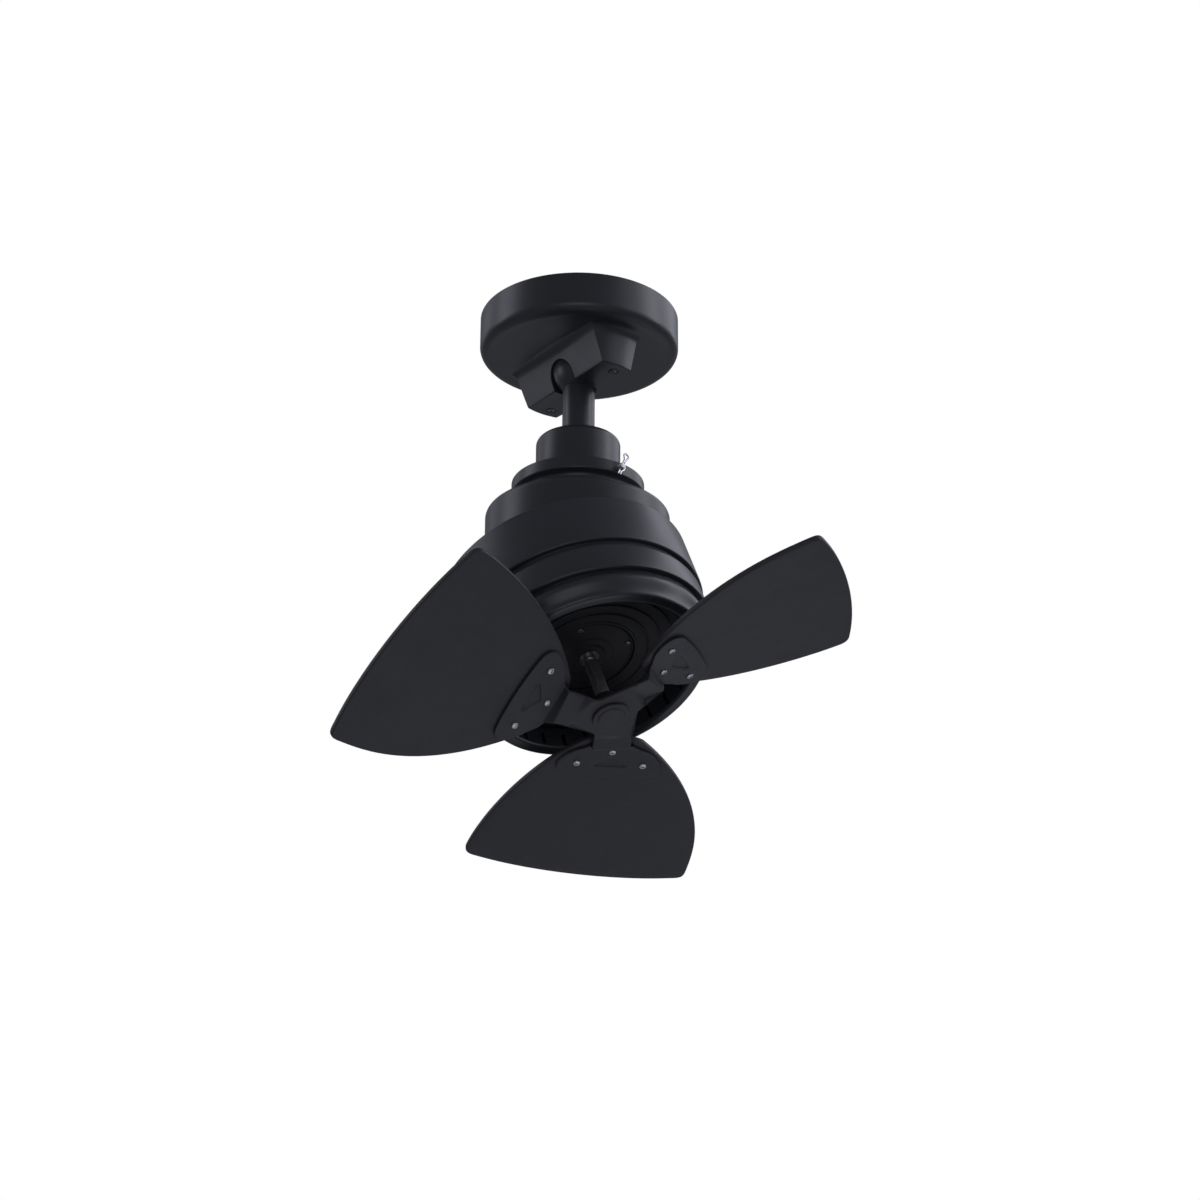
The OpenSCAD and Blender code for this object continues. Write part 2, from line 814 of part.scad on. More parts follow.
module vent_floor() {
    outer = lip_at - 0.4;
    color(GREY)
        head_frame()
            difference() {
                union() {
                    disc(outer, vent_floor_bottom, vent_floor_top);
                    for (r = [stator_r - 6, stator_r + 2, stator_r + 10])
                        ring(r + 1.2, r, vent_floor_bottom - 1, vent_floor_bottom + 0.5);
                }
                disc(end_cap_r + 0.4, vent_floor_bottom - 2, vent_floor_top + 1);
            }
}

module housing_screws() {
    color(STEEL)
        head_frame()
            around(4, screw_at, 45)
                translate([0, 0, ring_top - 2.5])
                    screw_up(1.6, 2.8, 1.6, shell_foot + 4 - ring_top + 2.5);
}

module tilt_bracket() {
    ear_in = knuckle_half + washer_t + 0.1;
    color(STEEL)
        head_frame()
            difference() {
                union() {
                    for (s = [0, 180]) rotate([0, 0, s]) tilt_ear(ear_in);
                    disc(bracket_r, top_plate_z, top_plate_z + bracket_t);
                }
                bar_x(tilt_bolt_r + run_gap, -bracket_r, bracket_r);
            }
}

// One ear beside the knuckle, on the +X side
module tilt_ear(ear_in) {
    bar_x(knuckle_r - 1, ear_in, ear_in + ear_t);
    translate([ear_in, -knuckle_r + 1, top_plate_z])
        cube([ear_t, 2 * (knuckle_r - 1), -top_plate_z]);
}

module tilt_bolt() {
    grip = knuckle_half + washer_t + 0.1 + ear_t;
    color(STEEL)
        head_frame() {
            bar_x(tilt_bolt_r, -grip - 4, grip + 9);
            translate([-grip - 5, 0, 0]) rotate([0, 90, 0])
                cylinder(r = tilt_bolt_r * 1.8, h = 5, $fn = 6);
        }
}

module tilt_nut() {
    grip = knuckle_half + washer_t + 0.1 + ear_t;
    color(STEEL)
        head_frame()
            difference() {
                translate([grip, 0, 0]) rotate([0, 90, 0])
                    cylinder(r = tilt_bolt_r * 1.8, h = 6, $fn = 6);
                bar_x(tilt_bolt_r + run_gap, grip - 1, grip + 7);
            }
}

module friction_washers() {
    color(GREY)
        head_frame()
            for (s = [0, 180])
                rotate([0, 0, s])
                    difference() {
                        bar_x(knuckle_r - 2, knuckle_half + 0.1, knuckle_half + 0.1 + washer_t);
                        bar_x(tilt_bolt_r + run_gap, knuckle_half - 1, knuckle_half + washer_t + 1);
                    }
}

module motor_top_plate() {
    plate_out = groove_r - shell_wall - 0.4;
    color(GREY)
        head_frame()
            difference() {
                union() {
                    disc(plate_out, bearing_top, top_plate_z);
                    disc(bearing_r + 3, bearing_top - bearing_w, top_plate_z);
                    ring(plate_out, plate_out - 2, band_bottom + 2, top_plate_z);
                    ring(stator_r + 2.5, stator_r + run_gap, stator_bottom, top_plate_z);
                }
                disc(bearing_r + run_gap, bearing_top - bearing_w - 1, bearing_top);
                disc(shaft_r + 1, bearing_top - 1, top_plate_z + 1);
                around(4, screw_at, 45) disc(1.8, bearing_top - 1, top_plate_z + 1);
            }
}

module motor_end_cap() {
    pocket_top = end_cap_bottom + bearing_w + 0.5;
    color(GREY)
        head_frame()
            difference() {
                union() {
                    disc(end_cap_r, end_cap_bottom, end_cap_top);
                    ring(end_cap_r, end_cap_r - 3, end_cap_bottom, stator_bottom);
                    disc(bearing_r + 2.5, end_cap_bottom, pocket_top);
                    ring(end_cap_r - 0.6, end_cap_r - 1.6, end_cap_bottom - 0.8, end_cap_bottom);
                }
                disc(bearing_r + run_gap, end_cap_bottom + 1, pocket_top + 1);
                disc(shaft_r + 1, end_cap_bottom - 1, end_cap_top + 1);
                around(4, end_cap_r - 4.2, 38) disc(1.5, end_cap_bottom - 2, end_cap_top + 1);
            }
}

module end_cap_screws() {
    color(STEEL)
        head_frame()
            around(4, end_cap_r - 4.2, 38)
                translate([0, 0, end_cap_bottom]) screw_up(1.4, 2.2, 1.2, motor_plate);
}

module stator_core() {
    tooth_w = 2 * PI * stator_bore / slot_count * 0.62;
    color(GREY)
        head_frame()
            translate([0, 0, stator_bottom])
                linear_extrude(height = stator_h)
                    difference() {
                        circle(r = stator_r);
                        circle(r = stator_bore);
                        for (i = [0 : slot_count - 1])
                            rotate(360 / slot_count * (i + 0.5))
                                translate([stator_bore - 1, -tooth_w * 0.3])
                                    square([stator_r - stator_bore - 7, tooth_w * 0.6]);
                    }
}

module stator_windings() {
    coil_in = stator_bore + 4;
    coil_out = stator_r - 9;
    color(COPPER)
        head_frame() {
            ring(coil_out, coil_in, stator_top, bearing_top - 0.1);
            ring(coil_out, coil_in, end_cap_top + 0.1, stator_bottom);
        }
}

// A ball bearing drawn as its two races with a shield between
module bearing(z0) {
    mid = (bearing_r + shaft_r) / 2;
    difference() {
        ring(bearing_r, shaft_r + run_gap, z0, z0 + bearing_w);
        for (z = [z0 - 1, z0 + bearing_w - 0.5]) ring(mid + 1.1, mid - 1.1, z, z + 1.5);
    }
}

module upper_bearing() {
    color(STEEL) head_frame() bearing(bearing_top - bearing_w);
}

module lower_bearing() {
    color(STEEL) head_frame() bearing(end_cap_bottom + 1);
}

module run_capacitor() {
    size = [24, 12, 6];
    color(GREY)
        head_frame()
            translate([-size[0] / 2, 44, top_plate_z]) cube(size);
}

/* ---- what turns ---- */

module motor_shaft() {
    color(STEEL)
        head_frame()
            difference() {
                disc(shaft_r, -hub_drop + spider_t + 0.2, bearing_top);
                for (s = [0, 120, 240])
                    rotate([0, 0, s])
                        translate([shaft_r - 0.5, -shaft_r, hub_top])
                            cube([2, 2 * shaft_r, end_cap_bottom - 6 - hub_top]);
            }
}

module rotor_core() {
    core_r = stator_bore - air_gap;
    well_r = bearing_r + 4;
    color(GREY)
        head_frame()
            difference() {
                disc(core_r, stator_bottom + 0.5, stator_top);
                disc(well_r, rotor_top, stator_top + 1);
                disc(well_r - 0.5, stator_bottom, end_cap_bottom + bearing_w + 1.5);
                disc(shaft_r + run_gap / 2, stator_bottom, stator_top + 1);
            }
}

module retaining_ring() {
    z = end_cap_bottom - 1.6;
    color(STEEL)
        head_frame()
            difference() {
                ring(shaft_r + 2.4, shaft_r + run_gap / 2, z, z + 0.8);
                translate([0, -1.5, z - 1]) cube([shaft_r + 4, 3, 3]);
            }
}

module blade_hub() {
    color(GREY)
        head_frame()
            difference() {
                union() {
                    disc(shaft_r + 4.5, hub_top, hub_top + 15);
                    disc(hub_cap_r, hub_top, hub_top + 3);
                }
                disc(shaft_r + run_gap / 2, hub_top - 1, hub_top + 16);
                around(3, hub_cap_r - 4.5) disc(1.5, hub_top - 1, hub_top + 4);
            }
}

// Children in the frame of blade i: X outwards, Y across, Z up through the pad
module pad_frame(i) {
    rotate([0, 0, blade_phase + 120 * i])
        translate([0, 0, -pad_drop])
            rotate([blade_pitch, 0, 0])
                translate([pad_mid, -pad_shift, 0])
                    rotate([0, -blade_rise, 0])
                        translate([-pad_mid, 0, 0])
                            children();
}

pad_mid = (pad_inner_at + pad_outer_at) / 2;
pad_base = pad_inner_at - 11;
pad_root = pad_inner_at - 7;
pad_screws = [
    [pad_inner_at, 0], [pad_outer_at, pad_screw_half], [pad_outer_at, -pad_screw_half]
];

// Outline of a blade pad: a rounded arrow head with its neck end at the hub side
pad_side = pad_screw_half + 13;
pad_outline = concat(
    bezier([pad_root, -17], [pad_base + 9, -20], [pad_base + 9, -32], [pad_base + 23, -pad_side]),
    bezier([pad_base + 23, -pad_side], [pad_base + 32, -pad_side - 6],
        [pad_base + 39, -pad_side - 2], [pad_base + 40, -pad_side + 7]),
    bezier([pad_base + 40, -pad_side + 7], [pad_base + 43, -15],
        [pad_base + 43, 15], [pad_base + 40, pad_side - 7]),
    bezier([pad_base + 40, pad_side - 7], [pad_base + 39, pad_side + 2],
        [pad_base + 32, pad_side + 6], [pad_base + 23, pad_side]),
    bezier([pad_base + 23, pad_side], [pad_base + 9, 32], [pad_base + 9, 20], [pad_root, 17])
);

// Pressed triangle between the screws
module pad_triangle() {
    polygon([[pad_inner_at + 7, 0], [pad_outer_at + 4, -17], [pad_outer_at + 4, 17]]);
}

// One arm: flat at the hub, then twisted to the pitch of the pad, then a steep step up to the pad
module spider_neck(i) {
    inset = 0.25;
    half = neck_half - inset;
    mid = neck_shift - pad_shift;
    flat_end = hub_r + 2;
    twist_end = hub_r + 7;
    joggle = pad_inner_at - 10;
    rotate([0, 0, blade_phase + 120 * i])
        translate([0, 0, -hub_drop])
            linear_extrude(height = spider_t)
                polygon([
                    [0, 0], [-1, -hub_r + 0.1], [3, mid - neck_half], [flat_end, mid - neck_half],
                    [flat_end, mid + neck_half], [hub_r * 0.55, hub_r * 0.83]
                ]);
    hull() {
        rotate([0, 0, blade_phase + 120 * i])
            translate([flat_end - 2, mid - half, inset - hub_drop])
                cube([1, 2 * half, spider_t - 2 * inset]);
        pad_frame(i) translate([twist_end + 1, neck_shift - half, inset - neck_drop])
            cube([1, 2 * half, spider_t - 2 * inset]);
    }
    pad_frame(i) translate([twist_end, neck_shift - neck_half, -neck_drop])
        cube([joggle - twist_end, 2 * neck_half, spider_t]);
    hull() {
        pad_frame(i) translate([joggle - 2, neck_shift - half, inset - neck_drop])
            cube([1, 2 * half, spider_t - 2 * inset]);
        pad_frame(i) translate([pad_root + 1, inset - 17, inset])
            cube([1, 34 - 2 * inset, spider_t - 2 * inset]);
    }
}

module blade_spider() {
    color(BLACK)
        head_frame()
            difference() {
                union() {
                    disc(hub_r, -hub_drop, hub_top);
                    for (i = [0 : 2]) {
                        spider_neck(i);
                        pad_frame(i) linear_extrude(height = spider_t) polygon(pad_outline);
                    }
                }
                disc(shaft_r + 1, -hub_drop - 1, hub_top + 1);
                around(3, hub_cap_r - 4.5) disc(1.5, -hub_drop - 1, hub_top + 1);
                for (i = [0 : 2])
                    pad_frame(i) {
                        for (p = pad_screws)
                            translate([p[0], p[1], -1]) cylinder(r = blade_screw_r + 0.2, h = spider_t + 2);
                        translate([0, 0, -1]) linear_extrude(height = 1.8) pad_triangle();
                    }
            }
}

module hub_screws() {
    color(STEEL)
        head_frame()
            around(3, hub_cap_r - 4.5) translate([0, 0, -hub_drop]) screw_up(1.4, 2.2, 1.2, spider_t + 2.5);
}

module hub_cap() {
    step_r = hub_cap_r * 0.79;
    color(BLACK)
        head_frame()
            difference() {
                union() {
                    disc(hub_cap_r, -hub_drop - 2.2, -hub_drop);
                    disc(step_r, -hub_drop - 3.2, -hub_drop);
                }
                disc(hub_cap_r - 1.3, -hub_drop - 1.3, -hub_drop + 1);
            }
}

// Outline of a blade from its root near the hub to its tip
tip = blade_reach;
half = blade_half;
root = pad_inner_at - 9;
root_half = pad_screw_half - 2.7;
span = tip - root;
fore = 0.91 * half;
blade_outline = concat(
    bezier([root, -root_half], [root + 0.154 * span, -0.547 * half],
        [root + 0.437 * span, -fore], [tip - 0.209 * span, -fore]),
    bezier([tip - 0.209 * span, -fore], [tip - 0.153 * span, -fore],
        [tip - 0.118 * span, -0.905 * half], [tip - 0.055 * span, -0.895 * half], 4),
    bezier([tip - 0.055 * span, -0.895 * half], [tip - 0.008 * span, -0.886 * half],
        [tip, -0.863 * half], [tip + 0.004 * span, -0.758 * half], 6),
    bezier([tip + 0.004 * span, -0.758 * half], [tip + 0.039 * span, -0.263 * half],
        [tip - 0.002 * span, 0.474 * half], [tip - 0.112 * span, half]),
    bezier([tip - 0.112 * span, half], [tip - 0.124 * span, 1.074 * half],
        [tip - 0.148 * span, 1.095 * half], [tip - 0.179 * span, 1.082 * half], 6),
    bezier([tip - 0.179 * span, 1.082 * half], [tip - 0.374 * span, 1.01 * half],
        [root + 0.236 * span, 0.737 * half], [root, root_half]),
    bezier([root, root_half], [root - 6.5, 0.6 * root_half], [root - 6.5, -0.6 * root_half],
        [root, -root_half])
);

module blade(i) {
    color(CHARCOAL)
        head_frame()
            pad_frame(i)
                translate([0, 0, spider_t])
                    difference() {
                        linear_extrude(height = blade_t) polygon(blade_outline);
                        for (p = pad_screws)
                            translate([p[0], p[1], -1]) cylinder(r = blade_screw_r + run_gap, h = blade_t);
                    }
}

module blade_screws() {
    color(STEEL)
        head_frame()
            for (i = [0 : 2])
                pad_frame(i)
                    for (p = pad_screws)
                        translate([p[0], p[1], 0])
                            screw_up(blade_screw_r, blade_head_r, 1.5, spider_t + blade_t - 1.2);
}

mounting_plate();
plate_posts();
terminal_block();
canopy();
canopy_screws();
hanger_ball();
ball_pin();
ball_set_screw();
downrod();
coupling_cup();
rod_collar();
collar_screws();
clevis_pin();
hairpin_cotter();
neck_flange();
neck_cap();
tilt_arm();
stem_nut();
swivel_dome();
tilt_bracket();
tilt_bolt();
tilt_nut();
friction_washers();
upper_shell();
middle_band();
finned_ring();
lower_ring();
vent_floor();
housing_screws();
motor_top_plate();
motor_end_cap();
end_cap_screws();
stator_core();
stator_windings();
upper_bearing();
lower_bearing();
run_capacitor();
motor_shaft();
rotor_core();
retaining_ring();
blade_hub();
blade_spider();
hub_screws();
hub_cap();
blade(0);  // blade_1
blade(1);  // blade_2
blade(2);  // blade_3
blade_screws();
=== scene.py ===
import json
import math

import bpy
import bmesh
from mathutils import Matrix, Vector, geometry


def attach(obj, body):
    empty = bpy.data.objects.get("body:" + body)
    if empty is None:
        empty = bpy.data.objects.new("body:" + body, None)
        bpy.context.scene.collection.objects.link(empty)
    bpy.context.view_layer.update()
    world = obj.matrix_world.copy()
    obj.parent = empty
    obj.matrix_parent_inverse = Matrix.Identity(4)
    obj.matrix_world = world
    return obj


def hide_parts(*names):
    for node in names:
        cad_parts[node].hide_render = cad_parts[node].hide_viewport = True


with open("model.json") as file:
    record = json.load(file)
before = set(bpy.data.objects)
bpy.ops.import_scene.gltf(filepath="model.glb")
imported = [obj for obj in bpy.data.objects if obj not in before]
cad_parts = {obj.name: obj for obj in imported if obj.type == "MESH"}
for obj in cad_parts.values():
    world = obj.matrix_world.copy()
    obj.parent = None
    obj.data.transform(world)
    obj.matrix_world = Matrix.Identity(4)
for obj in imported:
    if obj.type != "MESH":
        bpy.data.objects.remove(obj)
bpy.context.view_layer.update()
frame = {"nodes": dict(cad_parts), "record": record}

MM = 0.001
SEGS, FINE_SEGS = 192, 256

# ---- sizes, in millimetres and degrees ----
# Heights down to the cap count from the ceiling, those of the head from its tilt axis.
# Canopy and its socket boss
BOSS_TURN = -7.5
CANOPY_R, CANOPY_H, CANOPY_WALL = 82.3, 34.5, 3.0
BOSS_BOTTOM, BOSS_END_R, BOSS_ROOT_R = -64.5, 54.0, 60.0
BOSS_FRONT, BOSS_BACK, FACE_LEAN = 14.0, 17.5, 0.418
SLOT_R, SEAT_R, BALL_Z, ARCH_Z = 14.5, 21.8, -47.5, -58.0
SCREW_X, SCREW_Y = 3.0, 43.4
# Rod, cup, flange and cap
ROD_R, ROD_WALL, ROD_TOP, ROD_END = 13.35, 2.9, -34.0, -140.0
CUP_R, CUP_TOP, FLANGE_TOP, CAP_TOP = 34.6, -112.0, -152.0, -179.0
PIVOT_Z, HEAD_TILT, SKIN = -277.0, 24.0, 2.5
FLANGE_R, CAP_R, SKIRT_Z = 54.1, 74.95, PIVOT_Z + 45.96
STEM_HOLE_R, PIN_Z = 8.1, FLANGE_TOP - 6.5
# Shells, rings and the motor's face
SHELL_R, SHELL_RISE, SHELL_FOOT = 105.0, 40.8, -5.6
GROOVE_R, BAND_R, BAND_TOP, BAND_BOTTOM = 100.6, 103.0, -10.6, -34.6
RING_TOP, RING_R, LIP_R, LIP_AT, LIP_Z = -38.2, 99.1, 7.0, 88.0, -49.2
VENT_COUNT, VENT_TURN, VENT_HALF, VENT_TOP, VENT_END = 28, 1.4, 1.6, -43.0, -51.4
END_CAP_R, END_CAP_BOTTOM = 37.6, -34.5
# Shaft, hub, spider and blades
SHAFT_R, HUB_DROP, SPIDER_T, HUB_CAP_R = 6.0, 97.5, 2.5, 15.0
BLADE_PHASE, PAD_DROP, PAD_SHIFT, PITCH = 57.2, 87.8, 12.2, 12.5
PAD_IN, PAD_OUT, PAD_HALF = 53.0, 67.9, 26.7
BLADE_REACH, BLADE_HALF, BLADE_T = 211.0, 94.0, 5.0
# The visual model's own values, finer than the CAD model's or not in it: the canopy's lower edge,
# the boss's foot and edge, the sunk screws, the bend of the lower ring's lip, and the spider's
# arms, twists and steps
EDGE_IN, EDGE_UP = 11.5, 8.0
BOSS_FOOT, BOSS_EDGE, BACK_LEAN = 6.5, 1.2, 0.12
SCREW_SINK = 0.7
LIP_BEND, LIP_OUT, LIP_IN, RING_SKIN = 3.2, 2.6, 1.2, 2.2
PAD_ROOT = PAD_IN - 11
NECK_LOW, NECK_HIGH, NECK_TAPER, NECK_DROP = -12.0, 19.9, 0.12, 6.5
FLAT_END, TWIST_END, STEP_START, STEP_END = 24.5, 31.0, 42.9, 47.5


def rot(degrees, axis):
    return Matrix.Rotation(math.radians(degrees), 4, axis)


def move(x, y, z):
    return Matrix.Translation((x, y, z))


WORLD = Matrix.Identity(4)
CANOPY = rot(BOSS_TURN, "Z")
HEAD = move(0, 0, PIVOT_Z) @ rot(-HEAD_TILT, "X")


def pad_frame(i):
    """The frame of blade i inside the head frame: X outwards, Z up through the pad."""
    return (rot(BLADE_PHASE + 120 * i, "Z") @ move(0, 0, -PAD_DROP) @ rot(PITCH, "X")
            @ move(0, -PAD_SHIFT, 0))


# ---- materials ----

class Nodes:
    """A short way to build one procedural material."""

    def __init__(self, name):
        self.mat = bpy.data.materials.new(name)
        self.mat.use_nodes = True
        self.tree = self.mat.node_tree
        self.bsdf = self.tree.nodes["Principled BSDF"]
        coord = self.tree.nodes.new("ShaderNodeTexCoord")
        self.coord = coord.outputs["Object"]

    def link(self, a, b):
        self.tree.links.new(a, b)

    def noise(self, scale, detail=4.0, rough=0.55, vector=None):
        n = self.tree.nodes.new("ShaderNodeTexNoise")
        n.inputs["Scale"].default_value = scale
        n.inputs["Detail"].default_value = detail
        n.inputs["Roughness"].default_value = rough
        self.link(vector or self.coord, n.inputs["Vector"])
        return n.outputs["Fac"]

    def stretch(self, x, y, z):
        m = self.tree.nodes.new("ShaderNodeMapping")
        m.inputs["Scale"].default_value = (x, y, z)
        self.link(self.coord, m.inputs["Vector"])
        return m.outputs["Vector"]

    def ramp(self, fac, low, high, at=(0.3, 0.7)):
        r = self.tree.nodes.new("ShaderNodeValToRGB")
        r.color_ramp.elements[0].position = at[0]
        r.color_ramp.elements[1].position = at[1]
        r.color_ramp.elements[0].color = (*low, 1)
        r.color_ramp.elements[1].color = (*high, 1)
        self.link(fac, r.inputs["Fac"])
        return r.outputs["Color"]

    def to_range(self, fac, low, high):
        m = self.tree.nodes.new("ShaderNodeMapRange")
        m.inputs["To Min"].default_value = low
        m.inputs["To Max"].default_value = high
        self.link(fac, m.inputs["Value"])
        return m.outputs["Result"]

    def mix(self, fac, a, b):
        m = self.tree.nodes.new("ShaderNodeMix")
        m.data_type = "RGBA"
        if hasattr(fac, "links"):
            self.link(fac, m.inputs[0])
        else:
            m.inputs[0].default_value = fac
        self.link(a, m.inputs[6])
        if hasattr(b, "links"):
            self.link(b, m.inputs[7])
        else:
            m.inputs[7].default_value = (*b, 1)
        return m.outputs[2]

    def bevel(self, radius):
        b = self.tree.nodes.new("ShaderNodeBevel")
        b.samples = 6
        b.inputs["Radius"].default_value = radius
        return b.outputs["Normal"]

    def bump(self, height, strength, distance, normal=None):
        b = self.tree.nodes.new("ShaderNodeBump")
        b.inputs["Strength"].default_value = strength
        b.inputs["Distance"].default_value = distance
        self.link(height, b.inputs["Height"])
        if normal is not None:
            self.link(normal, b.inputs["Normal"])
        self.link(b.outputs["Normal"], self.bsdf.inputs["Normal"])
        return b.outputs["Normal"]


def tint(color, gain):
    """The colour made lighter or darker."""
    return tuple(min(1.0, c * gain) for c in color)


def paint(name, color, rough, grain=1500.0, bump=0.12, spread=0.12, edge=0.0004, spec=0.5):
    """Powder coat: a fine orange peel, faint cloudy colour and uneven gloss."""
    n = Nodes(name)
    cloud = n.noise(14.0, 3.0)
    speck = n.noise(grain * 0.6, 2.0)
    base = n.ramp(cloud, tint(color, 1 - spread), tint(color, 1 + spread))
    fine = n.ramp(speck, tint(color, 0.82), tint(color, 1.2), (0.35, 0.65))
    n.link(n.mix(0.35, base, fine), n.bsdf.inputs["Base Color"])
    n.link(n.to_range(n.noise(45.0, 5.0), rough - 0.05, rough + 0.06), n.bsdf.inputs["Roughness"])
    n.bsdf.inputs["Specular IOR Level"].default_value = spec
    n.bump(n.noise(grain, 3.0, 0.6), bump, 0.00008, n.bevel(edge))
    return n.mat


def metal(name, color, rough, grain=(60.0, 60.0, 900.0), bump=0.05, edge=0.0003):
    """Plated or bare metal with fine drawn streaks and light handling marks."""
    n = Nodes(name)
    streak = n.noise(1.0, 6.0, 0.6, n.stretch(*grain))
    cloud = n.noise(30.0, 4.0)
    base = n.ramp(cloud, tint(color, 0.86), tint(color, 1.05))
    n.link(n.mix(0.3, base, n.ramp(streak, tint(color, 0.8), tint(color, 1.1))),
           n.bsdf.inputs["Base Color"])
    n.bsdf.inputs["Metallic"].default_value = 1.0
    n.link(n.to_range(streak, max(0.04, rough - 0.08), rough + 0.1), n.bsdf.inputs["Roughness"])
    n.bump(streak, bump, 0.00005, n.bevel(edge))
    return n.mat


def winding(name):
    """Enamelled copper wire, wound round the head's axis."""
    n = Nodes(name)
    w = n.tree.nodes.new("ShaderNodeTexWave")
    w.wave_type = "RINGS"
    w.rings_direction = "Z"
    w.inputs["Scale"].default_value = 380.0
    w.inputs["Distortion"].default_value = 1.5
    n.link(n.coord, w.inputs["Vector"])
    n.link(n.ramp(w.outputs["Fac"], (0.25, 0.09, 0.035), (0.72, 0.32, 0.14)),
           n.bsdf.inputs["Base Color"])
    n.bsdf.inputs["Metallic"].default_value = 0.8
    n.bsdf.inputs["Roughness"].default_value = 0.35
    n.bump(w.outputs["Fac"], 0.5, 0.0003)
    return n.mat


BLACK = paint("satin_black_coat", (0.021, 0.022, 0.026), 0.36)
BLADE = paint("charcoal_blade_coat", (0.026, 0.026, 0.03), 0.52, 1100.0, 0.22, 0.1, 0.0004, 0.36)
SPIDER = paint("charcoal_spider_coat", (0.023, 0.023, 0.027), 0.47, 1300.0, 0.18, 0.1, 0.0004, 0.36)
# Dark paint of the inner parts, made darker than their own finish to stand for the shade in the
# head's recess: painted shade
DARK_WITH_PAINTED_SHADE = paint("dark_paint_with_painted_recess_shade", (0.008, 0.008, 0.009), 0.55, 900.0, 0.15, 0.12, 0.0004, 0.3)
ZINC = metal("zinc_plate", (0.5, 0.5, 0.52), 0.42)
CHROME = metal("bright_plate", (0.78, 0.78, 0.8), 0.14, (200.0, 200.0, 200.0), 0.02)
DIM = metal("blackened_screw", (0.16, 0.16, 0.17), 0.3, (200.0, 200.0, 200.0), 0.02)
SHAFT = metal("ground_shaft", (0.7, 0.7, 0.72), 0.34, (420.0, 420.0, 12.0), 0.3)
HEAD_PLATE = metal("dull_screw_plate", (0.5, 0.5, 0.51), 0.18, (200.0, 200.0, 200.0), 0.02)
LAMINATION = metal("lamination_steel", (0.3, 0.3, 0.32), 0.45, (30.0, 30.0, 2400.0), 0.4)
COPPER = winding("enamelled_copper")
PLASTIC = paint("grey_moulded_plastic", (0.3, 0.3, 0.31), 0.5, 700.0, 0.1)

SLOT_MATERIALS = {
    "satin_black": BLACK, "charcoal_blade": BLADE, "dark_metal": DARK_WITH_PAINTED_SHADE, "zinc_steel": ZINC,
    "chrome_screw": CHROME, "lamination": LAMINATION, "copper_winding": COPPER,
    "grey_plastic": PLASTIC,
}


# ---- mesh helpers ----

def make(name, verts, faces, matrix, body, material, nodes=(), angle=32.0):
    """One piece from millimetre points in a local frame."""
    mesh = bpy.data.meshes.new(name)
    mesh.from_pydata([tuple((matrix @ Vector(v)) * MM) for v in verts], [], faces)
    bm = bmesh.new()
    bm.from_mesh(mesh)
    bmesh.ops.remove_doubles(bm, verts=bm.verts, dist=1e-7)
    bmesh.ops.recalc_face_normals(bm, faces=bm.faces)
    bm.to_mesh(mesh)
    bm.free()
    obj = bpy.data.objects.new(name, mesh)
    bpy.context.scene.collection.objects.link(obj)
    finish(obj, body, material, nodes, angle)
    return obj


def finish(obj, body, material, nodes=(), angle=32.0):
    """Material, shading and, for a piece on a body and the nodes it replaces."""
    mesh = obj.data
    mesh.materials.clear()
    mesh.materials.append(material)
    mesh.polygons.foreach_set("use_smooth", [True] * len(mesh.polygons))
    mesh.set_sharp_from_angle(angle=math.radians(angle))
    mesh.update()
    if body:
        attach(obj, body)
        if nodes:
            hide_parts(*nodes)


def fillet(points, steps=6):
    """A closed outline of (x, y, radius) corners, each rounded by its radius."""
    out = []
    n = len(points)
    for i, (x, y, r) in enumerate(points):
        p = Vector((x, y))
        if r <= 0:
            out.append((x, y))
            continue
        a = Vector(points[i - 1][:2]) - p
        b = Vector(points[(i + 1) % n][:2]) - p
        half = a.angle(b) / 2
        reach = min(r / math.tan(half), a.length * 0.49, b.length * 0.49)
        radius = reach * math.tan(half)
        a.normalize()
        b.normalize()
        centre = p + (a + b).normalized() * (radius / math.sin(half))
        start = (p + a * reach) - centre
        stop = (p + b * reach) - centre
        sweep = start.angle_signed(stop)
        for k in range(steps + 1):
            t = -sweep * k / steps
            c, s = math.cos(t), math.sin(t)
            out.append((centre.x + start.x * c - start.y * s, centre.y + start.x * s + start.y * c))
    return out


def lathe_data(profile, segs=SEGS):
    """Vertices and faces of a closed (r, z) outline turned about Z."""
    verts, faces = [], []
    n = len(profile)
    for k in range(segs):
        c, s = math.cos(2 * math.pi * k / segs), math.sin(2 * math.pi * k / segs)
        verts += [(r * c, r * s, z) for r, z in profile]
    for k in range(segs):
        a, b = k * n, ((k + 1) % segs) * n
        for i in range(n):
            j = (i + 1) % n
            if profile[i][0] < 1e-6 and profile[j][0] < 1e-6:
                continue
            quad = [a + i, a + j, b + j, b + i]
            if profile[i][0] < 1e-6:
                quad = [a + i, a + j, b + j]
            elif profile[j][0] < 1e-6:
                quad = [a + i, a + j, b + i]
            faces.append(quad)
    return verts, faces


def lathe(name, corners, matrix, body, material, nodes=(), segs=SEGS, angle=32.0,
          steps=6):
    """One turned piece from its (r, z, radius) corners."""
    verts, faces = lathe_data(fillet(corners, steps), segs)
    return make(name, verts, faces, matrix, body, material, nodes, angle)


def loose(verts, faces, matrix=WORLD):
    """A cutter or a part that another piece takes in, on no body."""
    return make("cutter", verts, faces, matrix, None, BLACK)


def combine(obj, other, operation):
    """Applies a boolean of other to obj and deletes other."""
    mod = obj.modifiers.new("cut", "BOOLEAN")
    mod.operation = operation
    mod.solver = "EXACT"
    mod.object = other
    depsgraph = bpy.context.evaluated_depsgraph_get()
    mesh = bpy.data.meshes.new_from_object(obj.evaluated_get(depsgraph))
    obj.modifiers.clear()
    old = obj.data
    obj.data = mesh
    bpy.data.meshes.remove(old)
    bpy.data.objects.remove(other)


